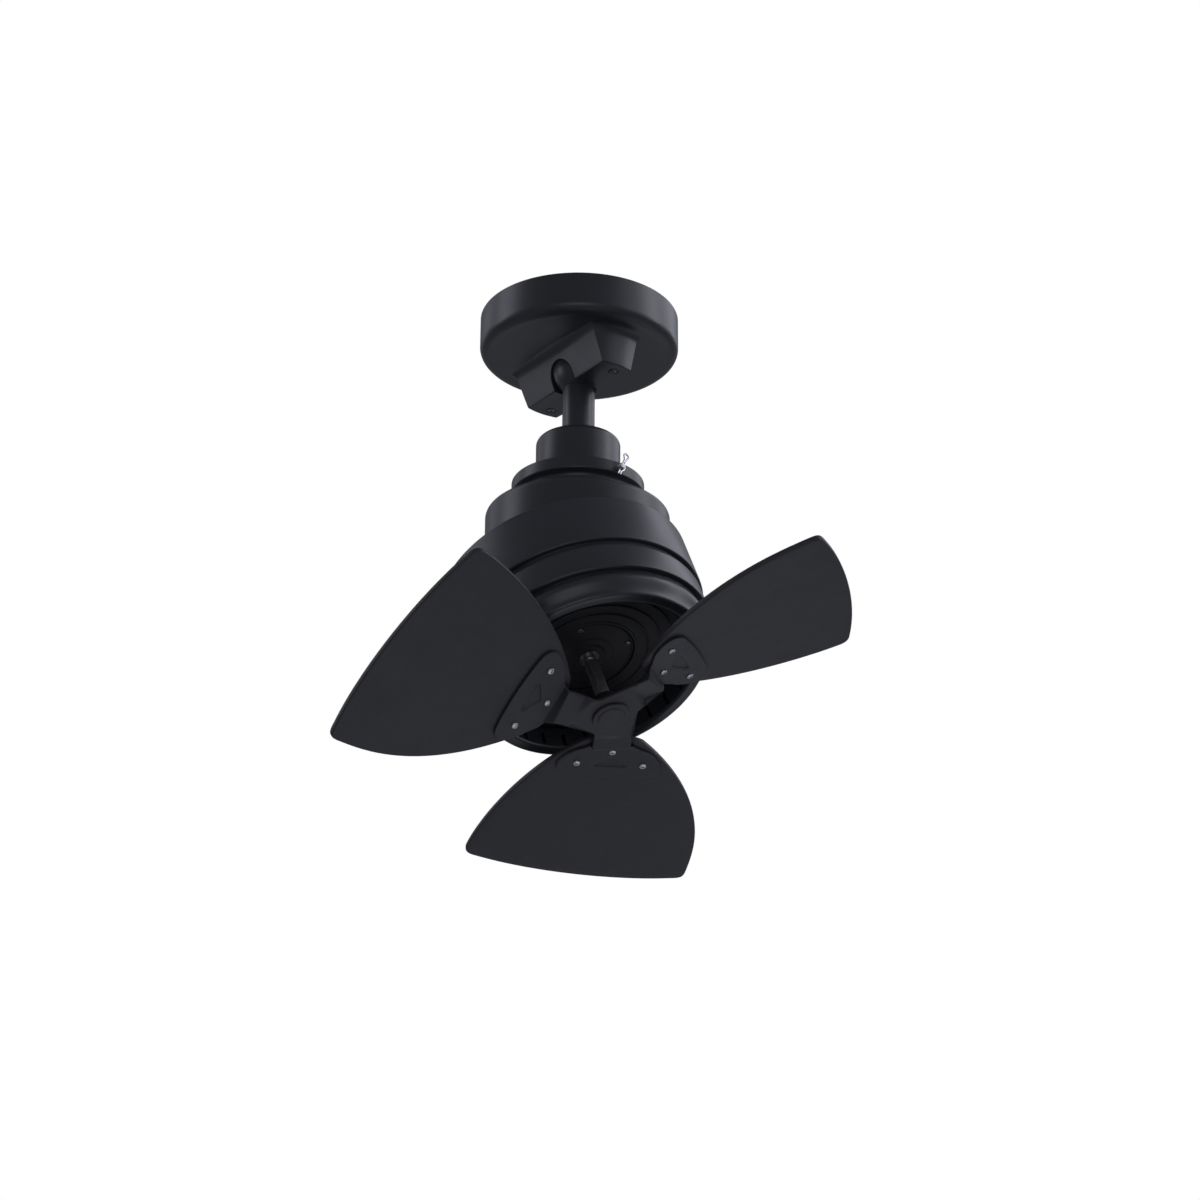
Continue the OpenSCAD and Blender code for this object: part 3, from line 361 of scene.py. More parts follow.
def prism(outline, z0, z1):
    """A straight prism of a counter-clockwise outline."""
    n = len(outline)
    verts = [(x, y, z0) for x, y in outline] + [(x, y, z1) for x, y in outline]
    faces = [list(range(n))[::-1], list(range(n, 2 * n))]
    faces += [[i, (i + 1) % n, n + (i + 1) % n, n + i] for i in range(n)]
    return verts, faces


def drum(r, z0, z1, segs=96):
    """A straight round prism."""
    return prism([(r * math.cos(2 * math.pi * k / segs), r * math.sin(2 * math.pi * k / segs))
                  for k in range(segs)], z0, z1)


def join_data(parts):
    """Joins (verts, faces, matrix) parts into one."""
    verts, faces = [], []
    for v, f, m in parts:
        base = len(verts)
        verts += [tuple(m @ Vector(p)) for p in v]
        faces += [[base + i for i in q] for q in f]
    return verts, faces


# ---- screws ----

def screw_data(head_r, head_h, shank_r, length):
    """A pan head screw that points up, with the underside of its head at z = 0."""
    profile = [(0, length)]
    profile += [(shank_r - 0.3, length), (shank_r, length - 0.3), (shank_r, 0)]
    profile += [(head_r - 0.12, 0), (head_r, -0.12), (head_r, -head_h * 0.35)]
    for k in range(1, 10):
        a = math.pi / 2 * k / 10
        profile.append((head_r * math.cos(a) ** 0.8, -head_h * (0.35 + 0.65 * math.sin(a))))
    profile.append((0, -head_h))
    head = loose(*lathe_data(profile, 48))
    arm, width = head_r * 0.62, head_r * 0.13
    for turn in (0, 90):
        slot_shape = [(-arm, -width), (arm, -width), (arm, width), (-arm, width)]
        v, f = prism(slot_shape, -head_h - 1, -head_h * 0.42)
        v = [(x * (0.8 if z > -head_h else 1), y, z) for x, y, z in v]
        combine(head, loose(v, f, rot(turn, "Z")), "DIFFERENCE")
    verts = [tuple(v.co / MM) for v in head.data.vertices]
    faces = [list(p.vertices) for p in head.data.polygons]
    bpy.data.objects.remove(head)
    return verts, faces


def screws(name, data, places, body, node, material):
    """One piece of equal screws at the given places."""
    verts, faces = join_data([(*data, m) for m in places])
    make(name, verts, faces, WORLD, body, material, (node,), 28.0)


# ---- the canopy ----

# Points along half the boss's outline: flat back, side facet, round side, leaning face
BOSS_PARTS = (16, 44, 70, 60)
BOSS_SEGS = 2 * sum(BOSS_PARTS)
# Half width of the flat back, and how far the facets beside it fall back over their run
BACK_HALF, BACK_FALL, BACK_RUN = 20.0, 3.2, 34.0
BOSS_LEVELS = [-60.0, -56.0, -52.0, -48.0, -44.5]


def boss_outline(z):
    """The boss's outline at height z: a leaning face, round sides and a back of three facets."""
    above = z - BOSS_BOTTOM
    t = above / (-CANOPY_H - BOSS_BOTTOM)
    round_r = BOSS_END_R + (BOSS_ROOT_R - BOSS_END_R) * t
    front = BOSS_FRONT + FACE_LEAN * above
    back = BOSS_BACK + BACK_LEAN * above
    shrink, flare = 0.0, 0.0
    if above < BOSS_EDGE:
        rest = BOSS_EDGE - above
        shrink = BOSS_EDGE - math.sqrt(max(0.0, BOSS_EDGE ** 2 - rest ** 2))
    flare_from = -CANOPY_H - BOSS_FOOT
    if z > flare_from:
        rise = min(BOSS_FOOT, z - flare_from)
        flare = BOSS_FOOT - math.sqrt(max(0.0, BOSS_FOOT ** 2 - rise ** 2))
    side = math.atan2(BACK_FALL, BACK_RUN)
    reach = math.cos(side) * back + math.sin(side) * BACK_HALF
    stops = [0.0, math.atan2(BACK_HALF, back), side + math.acos(reach / round_r),
             math.acos(-front / round_r), math.pi]
    half = []
    for k, count in enumerate(BOSS_PARTS):
        for i in range(count):
            a = stops[k] + (stops[k + 1] - stops[k]) * i / count
            lengths = (back / math.cos(a), reach / math.cos(a - side), round_r,
                       -front / math.cos(a))
            half.append((a, lengths[k]))
    half.append((math.pi, front))
    ring = half + [(-a, rho) for a, rho in half[-2:0:-1]]
    grow = flare - shrink
    return [((rho + grow) * math.cos(a), (rho + grow) * math.sin(a), z) for a, rho in ring]


def boss_data():
    """The solid boss, from its rounded bottom edge up into the canopy's floor."""
    levels = [BOSS_BOTTOM + BOSS_EDGE * (1 - math.cos(math.pi / 2 * i / 6)) for i in range(7)]
    levels += BOSS_LEVELS
    levels += [-CANOPY_H - BOSS_FOOT + BOSS_FOOT * math.sin(math.pi / 2 * i / 8) for i in range(9)]
    verts, faces = [], []
    for z in levels:
        verts += boss_outline(z)
    verts += [(x * 0.98, y * 0.98, -CANOPY_H + 2) for x, y, z in verts[-BOSS_SEGS:]]
    rows = len(levels) + 1
    n = BOSS_SEGS
    for j in range(rows - 1):
        for i in range(n):
            a, b = j * n + i, j * n + (i + 1) % n
            faces.append([a, b, b + n, a + n])
    faces.append(list(range(n))[::-1])
    faces.append(list(range((rows - 1) * n, rows * n)))
    return verts, faces


def build_canopy():
    """The pan with its boss, cut out for ball, slot and screws, and the two sunk screws."""
    well_top, slot_reach, hole_r, sink_r, hole_top = 28.0, 61.0, 2.3, 4.4, -30.0
    under = BOSS_BOTTOM - 2
    bend = [(CANOPY_R - EDGE_IN * (1 - math.cos(a)), -CANOPY_H + EDGE_UP * (1 - math.sin(a)), 0)
            for a in (math.pi / 2 * i / 16 for i in range(17))]
    pan = fillet([(CANOPY_R, 0, 0.5)] + bend + [
        (0, -CANOPY_H, 0), (0, -CANOPY_H + CANOPY_WALL, 0),
        (CANOPY_R - CANOPY_WALL, -CANOPY_H + CANOPY_WALL, 7.0),
        (CANOPY_R - CANOPY_WALL, 0, 0.5),
    ], 12)
    canopy = loose(*lathe_data(pan), CANOPY)
    combine(canopy, loose(*boss_data(), CANOPY), "UNION")
    seat = [(0, well_top), (SEAT_R, well_top)]
    seat += [(SEAT_R * math.cos(a), SEAT_R * math.sin(a))
             for a in (math.radians(-d) for d in range(0, 90, 5))]
    seat.append((0, -SEAT_R))
    cuts = [
        (*lathe_data(seat, 96), move(0, 0, BALL_Z)),
        (*drum(SLOT_R, under, BALL_Z), WORLD),
    ]
    arch = [(-SLOT_R, under), (SLOT_R, under)]
    arch += [(SLOT_R * math.cos(a), ARCH_Z + SLOT_R * math.sin(a))
             for a in (math.pi * i / 32 for i in range(33))]
    v, f = prism(arch, 0.0, slot_reach)
    cuts.append(([(-z, x, y) for x, y, z in v], f, WORLD))
    for s in (-1, 1):
        at = move(SCREW_X, s * SCREW_Y, 0)
        cuts.append((*drum(hole_r, under, hole_top, 32), at))
        cuts.append((*drum(sink_r, under, BOSS_BOTTOM + SCREW_SINK, 48), at))
    for v, f, m in cuts:
        combine(canopy, loose(v, f, CANOPY @ m), "DIFFERENCE")
    canopy.name = "canopy_shell"
    finish(canopy, "mount", BLACK, ("canopy",), 26.0)
    data = screw_data(3.3, 1.6, 2.0, 40.0)
    places = [CANOPY @ move(SCREW_X, s * SCREW_Y, BOSS_BOTTOM + SCREW_SINK) @ rot(25 * s, "Z")
              for s in (-1, 1)]
    screws("canopy_screw_pair", data, places, "mount", "canopy_screws", DIM)


# ---- the hanging rod and neck ----

def build_neck():
    """The rod and the three turned shells that hang on it: cup, flange and cap."""
    lathe("downrod_tube", [
        (ROD_R, ROD_TOP, 0.8), (ROD_R, ROD_END, 0.8), (ROD_R - ROD_WALL, ROD_END, 0.5),
        (ROD_R - ROD_WALL, ROD_TOP, 0.5)], WORLD, "drop", BLACK, ("downrod",), 96)
    rim, foot = ROD_R + 0.6, FLANGE_TOP + 0.05
    lathe("cup_shell", [
        (rim, CUP_TOP, 0.5), (CUP_R, CUP_TOP, 5.5), (CUP_R, foot, 0.4),
        (CUP_R - SKIN, foot, 0.3), (CUP_R - SKIN, CUP_TOP - 4.0, 2.5), (rim, CUP_TOP - 3.0, 0.5)],
        WORLD, "drop", BLACK, ("coupling_cup",), SEGS, 32.0, 10)
    neck = FLANGE_R - 5.0
    flange = lathe("flange_shell", [
        (STEM_HOLE_R, FLANGE_TOP, 0), (FLANGE_R, FLANGE_TOP, 0.8), (FLANGE_R, FLANGE_TOP - 10, 1.6),
        (neck, FLANGE_TOP - 13, 4.0), (neck, CAP_TOP + 4, 3.0), (neck + 2.5, CAP_TOP, 0.3),
        (neck - SKIN, CAP_TOP, 0.3), (neck - SKIN, FLANGE_TOP - SKIN, 1.0),
        (STEM_HOLE_R, FLANGE_TOP - SKIN, 0)],
        WORLD, None, BLACK, (), SEGS, 32.0, 8)
    bore = loose(*drum(2.6, -70, 70, 48), CANOPY @ move(0, 0, PIN_Z) @ rot(90, "X"))
    combine(flange, bore, "DIFFERENCE")
    finish(flange, "drop", BLACK, ("neck_flange",))
    lathe("cap_shell", [
        (STEM_HOLE_R, CAP_TOP, 0), (CAP_R, CAP_TOP, 5.5), (CAP_R, SKIRT_Z, 0.8),
        (CAP_R - SKIN, SKIRT_Z, 0.4), (CAP_R - SKIN, CAP_TOP - SKIN, 3.5),
        (STEM_HOLE_R, CAP_TOP - SKIN, 0)],
        WORLD, "drop", BLACK, ("neck_cap",), SEGS, 32.0, 10)


def build_clevis():
    """The pin through the flange, and the wire cotter through the pin's end."""
    reach, pin_r, head_r = FLANGE_R + 8.0, 2.5, 4.1
    across = CANOPY @ move(0, 0, PIN_Z) @ rot(-90, "Z")
    verts, faces = lathe_data(fillet([
        (0, -FLANGE_R - 2.2, 0), (head_r, -FLANGE_R - 2.2, 0.7), (head_r, -FLANGE_R - 0.2, 0.2),
        (pin_r, -FLANGE_R - 0.2, 0), (pin_r, reach, 0.8), (0, reach, 0)], 5), 48)
    pin = loose(verts, faces, across @ rot(90, "Y"))
    hole = across @ move(FLANGE_R + 5.0, 0, 0) @ rot(-26, "X")
    combine(pin, loose(*drum(0.95, -8, 8, 24), hole), "DIFFERENCE")
    pin.name = "clevis_pin_turned"
    finish(pin, "drop", ZINC, ("clevis_pin",))
    loop_r, top, wire = 2.3, 9.0, 0.8
    gap = pin_r + wire + 0.15
    path = []
    for z in [-7 + 0.5 * i for i in range(int(2 * (top - 2 + 7)) + 1)]:
        g = math.exp(-(z / 3.4) ** 2)
        path.append((gap * g + 1.2 * (1 - g) + (0.35 * (-4 - z) if z < -4 else 0), z))
    path += [(loop_r * math.cos(math.radians(a)), top + loop_r + loop_r * math.sin(math.radians(a)))
             for a in range(-24, 204, 12)]
    path += [(-0.4, top - 0.6), (0, top - 2), (0, top / 2), (0, 0), (0, -7.5)]
    centres = [Vector((0, y, z)) for y, z in path]
    sides = 12
    verts, faces = [], []
    for i, p in enumerate(centres):
        way = (centres[min(i + 1, len(centres) - 1)] - centres[max(i - 1, 0)]).normalized()
        up = way.cross(Vector((1, 0, 0)))
        for k in range(sides):
            a = 2 * math.pi * k / sides
            verts.append(tuple(p + (Vector((1, 0, 0)) * math.cos(a) + up * math.sin(a)) * wire))
    for i in range(len(centres) - 1):
        for k in range(sides):
            a, b = i * sides + k, i * sides + (k + 1) % sides
            faces.append([a, b, b + sides, a + sides])
    faces.append(list(range(sides)))
    faces.append(list(range(len(verts) - sides, len(verts))))
    make("cotter_wire", verts, faces, hole, "drop", CHROME, ("hairpin_cotter",), 50.0)


# ---- the head ----

def build_shells():
    """Upper shell, middle band and finned ring, each a turned shell of the leaning head."""
    shell_in = SHELL_R - SKIN
    lathe("upper_shell_ring", [
        (SHELL_R, SHELL_RISE, 1.3), (SHELL_R, SHELL_FOOT, 1.6), (GROOVE_R, SHELL_FOOT, 0.5),
        (GROOVE_R, BAND_TOP, 0), (GROOVE_R - SKIN, BAND_TOP, 0), (GROOVE_R - SKIN, SHELL_FOOT, 0),
        (LIP_AT, SHELL_FOOT, 0.3), (LIP_AT, SHELL_FOOT + 2, 0.3), (shell_in, SHELL_FOOT + 2, 2.0),
        (shell_in, SHELL_RISE, 0.8)],
        HEAD, "head", BLACK, ("upper_shell",), FINE_SEGS)
    inner = BAND_R - SKIN
    lathe("middle_band_ring", [
        (BAND_R, BAND_TOP, 1.4), (BAND_R, BAND_BOTTOM, 1.4), (LIP_AT, BAND_BOTTOM, 0.3),
        (LIP_AT, BAND_BOTTOM + 2, 0.3), (inner, BAND_BOTTOM + 2, 1.0), (inner, BAND_TOP - 2, 1.0),
        (LIP_AT, BAND_TOP - 2, 0.3), (LIP_AT, BAND_TOP, 0.3)],
        HEAD, "head", BLACK, ("middle_band",), FINE_SEGS)
    root, tip, fin, step, edge = 96.8, 98.6, 0.6, 1.2, 0.22
    fins = [(LIP_AT, RING_TOP, 0), (LIP_AT, BAND_BOTTOM, 0), (root, BAND_BOTTOM, 0)]
    for i in range(3):
        z = BAND_BOTTOM - 0.3 - step * i
        fins += [(root, z, 0), (tip, z, edge), (tip, z - fin, edge), (root, z - fin, 0)]
    fins += [(root, RING_TOP, 0)]
    lathe("finned_ring_turned", fins[::-1], HEAD, "head", BLACK, ("finned_ring",),
          FINE_SEGS, 32.0, 3)


def ring_path(inset):
    """The lower ring's section from its outer top, round the lip, to its inner top."""
    outer_top, inner_top = RING_TOP - inset, -36.0 + inset * 0.2
    low = LIP_Z - LIP_R + LIP_BEND
    bend = LIP_BEND - inset
    outer_at, inner_at = LIP_AT + LIP_OUT, LIP_AT - LIP_IN
    a = Vector((RING_R - inset, RING_TOP - 3.0))
    d = Vector((outer_at + LIP_BEND - inset, low))
    path = [(RING_R - inset, outer_top)]
    for i in range(17):
        t = i / 16
        b, c = a + Vector((0, -4)), d + Vector((1.0, 5))
        p = a * (1 - t) ** 3 + b * 3 * t * (1 - t) ** 2 + c * 3 * t * t * (1 - t) + d * t ** 3
        path.append((p.x, p.y))
    for at, start in ((outer_at, 0), (inner_at, 90)):
        for i in range(1, 13):
            ang = math.radians(start + 90 * i / 12)
            path.append((at + bend * math.cos(ang), low - bend * math.sin(ang)))
    path.append((LIP_AT - LIP_R + inset, inner_top))
    return path


def build_lower_ring():
    """The rolled ring with its inner row of vent slots, and the stepped floor inside it."""
    ring_segs, floor_z, bevel = 12 * VENT_COUNT, -34.0, 0.8
    outer, inner = ring_path(0.0), ring_path(RING_SKIN)
    loop = [(RING_R - 0.25, RING_TOP - 0.2), (RING_R, RING_TOP - bevel)] + outer[1:]
    loop += [(LIP_AT - LIP_R, floor_z), (LIP_AT - LIP_R + RING_SKIN, floor_z)]
    loop += inner[::-1]
    loop += [(LIP_AT, RING_TOP - RING_SKIN), (LIP_AT, RING_TOP), (RING_R - bevel, RING_TOP)]
    ring = loose(*lathe_data(loop, ring_segs), HEAD)
    shape = []
    for sign, z in ((1, VENT_TOP), (-1, VENT_END)):
        shape += [(VENT_HALF * math.cos(math.radians(a)) * sign,
                   z + sign * VENT_HALF * math.sin(math.radians(a))) for a in range(0, 181, 20)]
    v, f = prism(shape, 76.0, 90.0)
    v = [(z, x, y) for x, y, z in v]
    cutters = join_data([(v, f, rot(VENT_TURN + 360 / VENT_COUNT * i, "Z"))
                         for i in range(VENT_COUNT)])
    combine(ring, loose(*cutters, HEAD), "DIFFERENCE")
    ring.name = "lower_ring_rolled"
    finish(ring, "head", BLACK, ("lower_ring",), 30.0)
    steps = [(80.6, -34.05, 0), (80.6, -37.6, 0.6), (78.0, -37.6, 0.5), (76.0, -36.2, 0.4)]
    for r in (70.5, 60.5, 50.5):
        depth = -36.2 + (76.0 - r) * 0.035
        steps += [(r, depth, 0.2), (r, depth - 1.0, 0.35), (r - 1.6, depth - 1.0, 0.35),
                  (r - 1.6, depth, 0.2)]
    steps += [(40.6, -34.4, 0.4), (40.0, -35.0, 0.3), (38.0, -35.0, 0.4), (38.0, -32.0, 0.2),
              (87.6, -32.0, 0), (87.6, -34.05, 0)]
    lathe("vent_floor_stepped", steps, HEAD, "head", DARK_WITH_PAINTED_SHADE, ("vent_floor",),
          FINE_SEGS, 32.0, 3)


def build_motor_face():
    """The motor's end cap, stepped down to the shaft's hole, and its four screws."""
    z, shaft_hole, pocket_r, boss_r, wall_in = END_CAP_BOTTOM + 0.9, 7.0, 11.6, 13.0, 34.6
    lathe("end_cap_turned", [
        (END_CAP_R, -29.2, 0.2), (END_CAP_R, z, 0.9), (36.6, z - 0.8, 0.35), (35.9, z - 0.8, 0.35),
        (35.6, z, 0.3), (21.0, z, 0.6), (19.6, z - 0.7, 0.5), (14.2, z - 0.7, 0.5),
        (boss_r, z - 1.9, 0.6), (8.2, z - 1.9, 0.4), (shaft_hole, z - 0.9, 0.2),
        (shaft_hole, -32.0, 0.2), (pocket_r, -32.0, 0.2), (pocket_r, -29.0, 0.2),
        (boss_r, -29.0, 0.2), (boss_r, -31.5, 0.5), (wall_in, -31.8, 0.5), (wall_in, -29.2, 0.2)],
        HEAD, "head", DARK_WITH_PAINTED_SHADE, ("motor_end_cap",), SEGS)
    data = screw_data(2.3, 1.3, 1.3, 2.4)
    places = [HEAD @ rot(38 + 90 * i, "Z") @ move(END_CAP_R - 4.2, 0, z) @ rot(17 * i, "Z")
              for i in range(4)]
    screws("end_cap_screw_set", data, places, "head", "end_cap_screws", DIM)


# ---- the rotor ----

def build_shaft():
    """The shaft, round above and with three flats below, the hub's collar and the hub cap."""
    flat, flats_end, flats_top, shaft_top = 5.35, -95.4, -41.0, -16.8
    edge = math.degrees(math.acos(flat / SHAFT_R))
    outline = []
    for k in range(3):
        for i in range(13):
            a = math.radians(120 * k + edge + (120 - 2 * edge) * i / 12)
            outline.append((SHAFT_R * math.cos(a), SHAFT_R * math.sin(a)))
    v, f = prism(outline, flats_end, flats_top)
    rounds = lathe_data(fillet([(0, flats_top, 0), (SHAFT_R, flats_top, 0.5),
                                (SHAFT_R, shaft_top, 0.5), (0, shaft_top, 0)], 3), 48)
    verts, faces = join_data([(v, f, WORLD), (*rounds, WORLD)])
    make("motor_shaft_ground", verts, faces, HEAD, "rotor", SHAFT,
         ("motor_shaft",), 20.0)
    top, bore_r, collar_r = -HUB_DROP + SPIDER_T, 6.1, 10.5
    hub = loose(*lathe_data(fillet([
        (HUB_CAP_R, top, 0.4), (HUB_CAP_R, top + 3, 0.8), (collar_r, top + 3.6, 1.2),
        (collar_r, top + 15, 1.0), (bore_r, top + 15, 0.4), (bore_r, top, 0)], 5), 96), HEAD)
    side = HEAD @ move(0, 0, top + 9.5) @ rot(BLADE_PHASE + 60, "Z") @ rot(90, "Y")
    combine(hub, loose(*drum(1.6, 0, 14, 32), side), "DIFFERENCE")
    hub.name = "hub_collar"
    finish(hub, "rotor", DARK_WITH_PAINTED_SHADE, ("blade_hub",))
    z = -HUB_DROP
    lathe("hub_cap_pressed", [
        (0, z - 3.2, 0), (10.3, z - 3.2, 0.9), (11.3, z - 2.2, 0.5), (HUB_CAP_R, z - 2.2, 0.9),
        (HUB_CAP_R, z - 0.05, 0.2), (13.7, z - 0.05, 0.2), (13.7, z - 1.2, 0.3), (0, z - 1.2, 0)],
        HEAD, "rotor", SPIDER, ("hub_cap",), 128)


def bezier(a, b, c, d, n=12):
    """Points of a cubic curve without its last one, so that curves can follow each other."""
    out = []
    for i in range(n):
        t = i / n
        s = 1 - t
        out.append(tuple(s ** 3 * a[k] + 3 * s * s * t * b[k] + 3 * s * t * t * c[k] + t ** 3 * d[k]
                         for k in (0, 1)))
    return out


def inside(p, loop):
    """Whether p lies inside a closed loop."""
    x, y = p
    hit = False
    for i in range(len(loop)):
        (x0, y0), (x1, y1) = loop[i - 1], loop[i]
        if (y0 > y) != (y1 > y) and x < (x1 - x0) * (y - y0) / (y1 - y0) + x0:
            hit = not hit
    return hit


def on_plate(p, rim, holes):
    """Whether p lies inside the rim and in no hole."""
    return inside(p, rim) and not any(inside(p, hole) for hole in holes)


def inward(loop, amount):
    """The loop moved to its left by amount, which is inwards for a counter-clockwise loop."""
    out = []
    n = len(loop)
    for i in range(n):
        a, p, b = (Vector(loop[j % n]) for j in (i - 1, i, i + 1))
        d0, d1 = (p - a).normalized(), (b - p).normalized()
        n0, n1 = Vector((-d0.y, d0.x)), Vector((-d1.y, d1.x))
        m = (n0 + n1).normalized()
        out.append(tuple(p + m * (amount / max(0.5, m.dot(n0)))))
    return out


def near(p, loops, d):
    """Whether p comes nearer than d to a point of the loops, in both directions of the plan."""
    for loop in loops:
        for q in loop:
            if abs(q[0] - p[0]) < d and abs(q[1] - p[1]) < d:
                return True
    return False


def plate_data(outline, holes, low, high, edge, step, arc=4, lines=()):
    """A plate with rounded rims. low and high turn a plan point into its bottom and top points.
    lines are runs of plan points that the mesh follows, where they lie inside the rim."""
    loops = [outline] + holes
    rims = [inward(loop, edge) for loop in loops]
    points, edges = [], []
    for rim in rims:
        base = len(points)
        points += [Vector(p) for p in rim]
        edges += [(base + i, base + (i + 1) % len(rim)) for i in range(len(rim))]
    # Lines stay this much clear of the rim. Grid rows lie at the height of even triangles, and
    # grid points keep a share of the step from rims and lines.
    line_gap, row_share, near_share = 0.45, 0.87, 0.55
    limit = inward(outline, edge + line_gap)
    kept = []
    for line in lines:
        last = None
        for q in line:
            if on_plate(q, limit, rims[1:]):
                points.append(Vector(q))
                kept.append(q)
                if last is not None:
                    edges.append((last, len(points) - 1))
                last = len(points) - 1
            else:
                last = None
    xs, ys = [p[0] for p in outline], [p[1] for p in outline]
    grid = []
    row = 0
    y = min(ys) + step
    while y < max(ys):
        x = min(xs) + step * (0.5 if row % 2 else 1.0)
        while x < max(xs):
            if on_plate((x, y), rims[0], rims[1:]):
                if not near((x, y), rims + [kept], step * near_share):
                    grid.append(Vector((x, y)))
            x += step
        y += step * row_share
        row += 1
    count = len(points)
    cdt = geometry.delaunay_2d_cdt(points + grid, edges, [], 0, 1e-6)
    flat, tris = cdt[0], cdt[2]
    keep = []
    for t in tris:
        c = sum((flat[i] for i in t), Vector((0, 0))) / 3
        if on_plate(c, rims[0], rims[1:]):
            keep.append(list(t))
    verts = [low(p) for p in flat] + [high(p) for p in flat]
    n = len(flat)
    faces = [t[::-1] for t in keep] + [[i + n for i in t] for t in keep]
    where = {}
    for i, p in enumerate(flat):
        where[(round(p.x, 4), round(p.y, 4))] = i
    for loop, rim in zip(loops, rims):
        m = len(loop)
        ids = [where[(round(Vector(p).x, 4), round(Vector(p).y, 4))] for p in rim]
        prev = ids
        rows = []
        for k in range(1, 2 * arc + 2):
            if k <= arc:
                a = math.pi / 2 * k / arc
                off, level = edge * (1 - math.sin(a)), ("low", edge * (1 - math.cos(a)))
            else:
                a = math.pi / 2 * (k - arc - 1) / arc
                off, level = edge * (1 - math.cos(a)), ("high", edge * (1 - math.sin(a)))
            if k == 2 * arc + 1:
                rows.append([i + n for i in ids])
                continue
            plan = inward(loop, off) if off > 1e-9 else loop
            base = len(verts)
            for p in plan:
                lo, hi = Vector(low(p)), Vector(high(p))
                up = (hi - lo).normalized()
                verts.append(tuple(lo + up * level[1] if level[0] == "low" else hi - up * level[1]))
            rows.append(list(range(base, base + m)))
        for r in rows:
            for i in range(m):
                j = (i + 1) % m
                faces.append([prev[i], prev[j], r[j], r[i]])
            prev = r
    return verts, faces


def circle(x, y, r, n=28):
    """A clockwise circle, as the rim of a hole."""
    return [(x + r * math.cos(-2 * math.pi * k / n), y + r * math.sin(-2 * math.pi * k / n))
            for k in range(n)]


PAD_SCREWS = [(PAD_IN, 0.0), (PAD_OUT, PAD_HALF), (PAD_OUT, -PAD_HALF)]


def blade_outline():
    """The broad blade in plan, as shares of its span and half width, counter-clockwise."""
    tip, half = BLADE_REACH, BLADE_HALF
    root, root_half = PAD_IN - 9, PAD_HALF - 2.7
    span, fore = tip - root, 0.91 * half
    pts = bezier((root, -root_half), (root + 0.154 * span, -0.547 * half),
                 (root + 0.437 * span, -fore), (tip - 0.209 * span, -fore), 28)
    pts += bezier((tip - 0.209 * span, -fore), (tip - 0.153 * span, -fore),
                  (tip - 0.118 * span, -0.905 * half), (tip - 0.055 * span, -0.895 * half), 8)
    pts += bezier((tip - 0.055 * span, -0.895 * half), (tip - 0.008 * span, -0.886 * half),
                  (tip, -0.863 * half), (tip + 0.004 * span, -0.758 * half), 10)
    pts += bezier((tip + 0.004 * span, -0.758 * half), (tip + 0.039 * span, -0.263 * half),
                  (tip - 0.002 * span, 0.474 * half), (tip - 0.112 * span, half), 32)
    pts += bezier((tip - 0.112 * span, half), (tip - 0.124 * span, 1.074 * half),
                  (tip - 0.148 * span, 1.095 * half), (tip - 0.179 * span, 1.082 * half), 10)
    pts += bezier((tip - 0.179 * span, 1.082 * half), (tip - 0.374 * span, 1.01 * half),
                  (root + 0.236 * span, 0.737 * half), (root, root_half), 30)
    pts += bezier((root, root_half), (root - 6.5, 0.6 * root_half),
                  (root - 6.5, -0.6 * root_half), (root, -root_half), 10)
    return pts


def build_blades():
    """Three equal blades on the spider's pads, and their nine screws."""
    holes = [circle(x, y, 1.65) for x, y in PAD_SCREWS]
    low_z = SPIDER_T + 0.02
    high_z, rim, spacing = low_z + BLADE_T - 0.04, 1.4, 11.0
    verts, faces = plate_data(blade_outline(), holes, lambda p: (p[0], p[1], low_z),
                              lambda p: (p[0], p[1], high_z), rim, spacing, 5)
    for i in range(3):
        make("blade_panel_%d" % (i + 1), verts, faces, HEAD @ pad_frame(i), "rotor", BLADE,
             ("blade_%d" % (i + 1),), 40.0)
    data = screw_data(2.9, 1.6, 1.55, SPIDER_T + BLADE_T - 1.6)
    places = []
    for i in range(3):
        for j, (x, y) in enumerate(PAD_SCREWS):
            places.append(HEAD @ pad_frame(i) @ move(x, y, 0) @ rot(31 * i + 47 * j, "Z"))
    screws("blade_screw_set", data, places, "rotor", "blade_screws", HEAD_PLATE)


def smooth(t):
    """An even rise from 0 to 1."""
    t = min(1.0, max(0.0, t))
    return t * t * (3 - 2 * t)


def pad_outline():
    """One pad of the spider in plan, from one side of its arm round to the other."""
    side = PAD_HALF + 13
    r = PAD_ROOT
    pts = bezier((r + 4.5, -17), (r + 9, -20), (r + 9, -32), (r + 23, -side), 14)
    pts += bezier((r + 23, -side), (r + 32, -side - 6), (r + 39, -side - 2),
                  (r + 40, -side + 7), 12)
    pts += bezier((r + 40, -side + 7), (r + 43, -15), (r + 43, 15), (r + 40, side - 7), 20)
    pts += bezier((r + 40, side - 7), (r + 39, side + 2), (r + 32, side + 6), (r + 23, side), 12)
    pts += bezier((r + 23, side), (r + 9, 32), (r + 9, 20), (r + 4.5, 18.3), 14)
    pts.append((r + 4.5, 18.3))
    return pts


def loop_distance(p, loop):
    """Distance of p from a closed loop, negative outside it."""
    x, y = p
    best = 1e18
    for i in range(len(loop)):
        (x0, y0), (x1, y1) = loop[i - 1], loop[i]
        dx, dy = x1 - x0, y1 - y0
        t = ((x - x0) * dx + (y - y0) * dy) / max(1e-12, dx * dx + dy * dy)
        t = min(1.0, max(0.0, t))
        best = min(best, (x0 + t * dx - x) ** 2 + (y0 + t * dy - y) ** 2)
    return math.sqrt(best) * (1 if inside(p, loop) else -1)


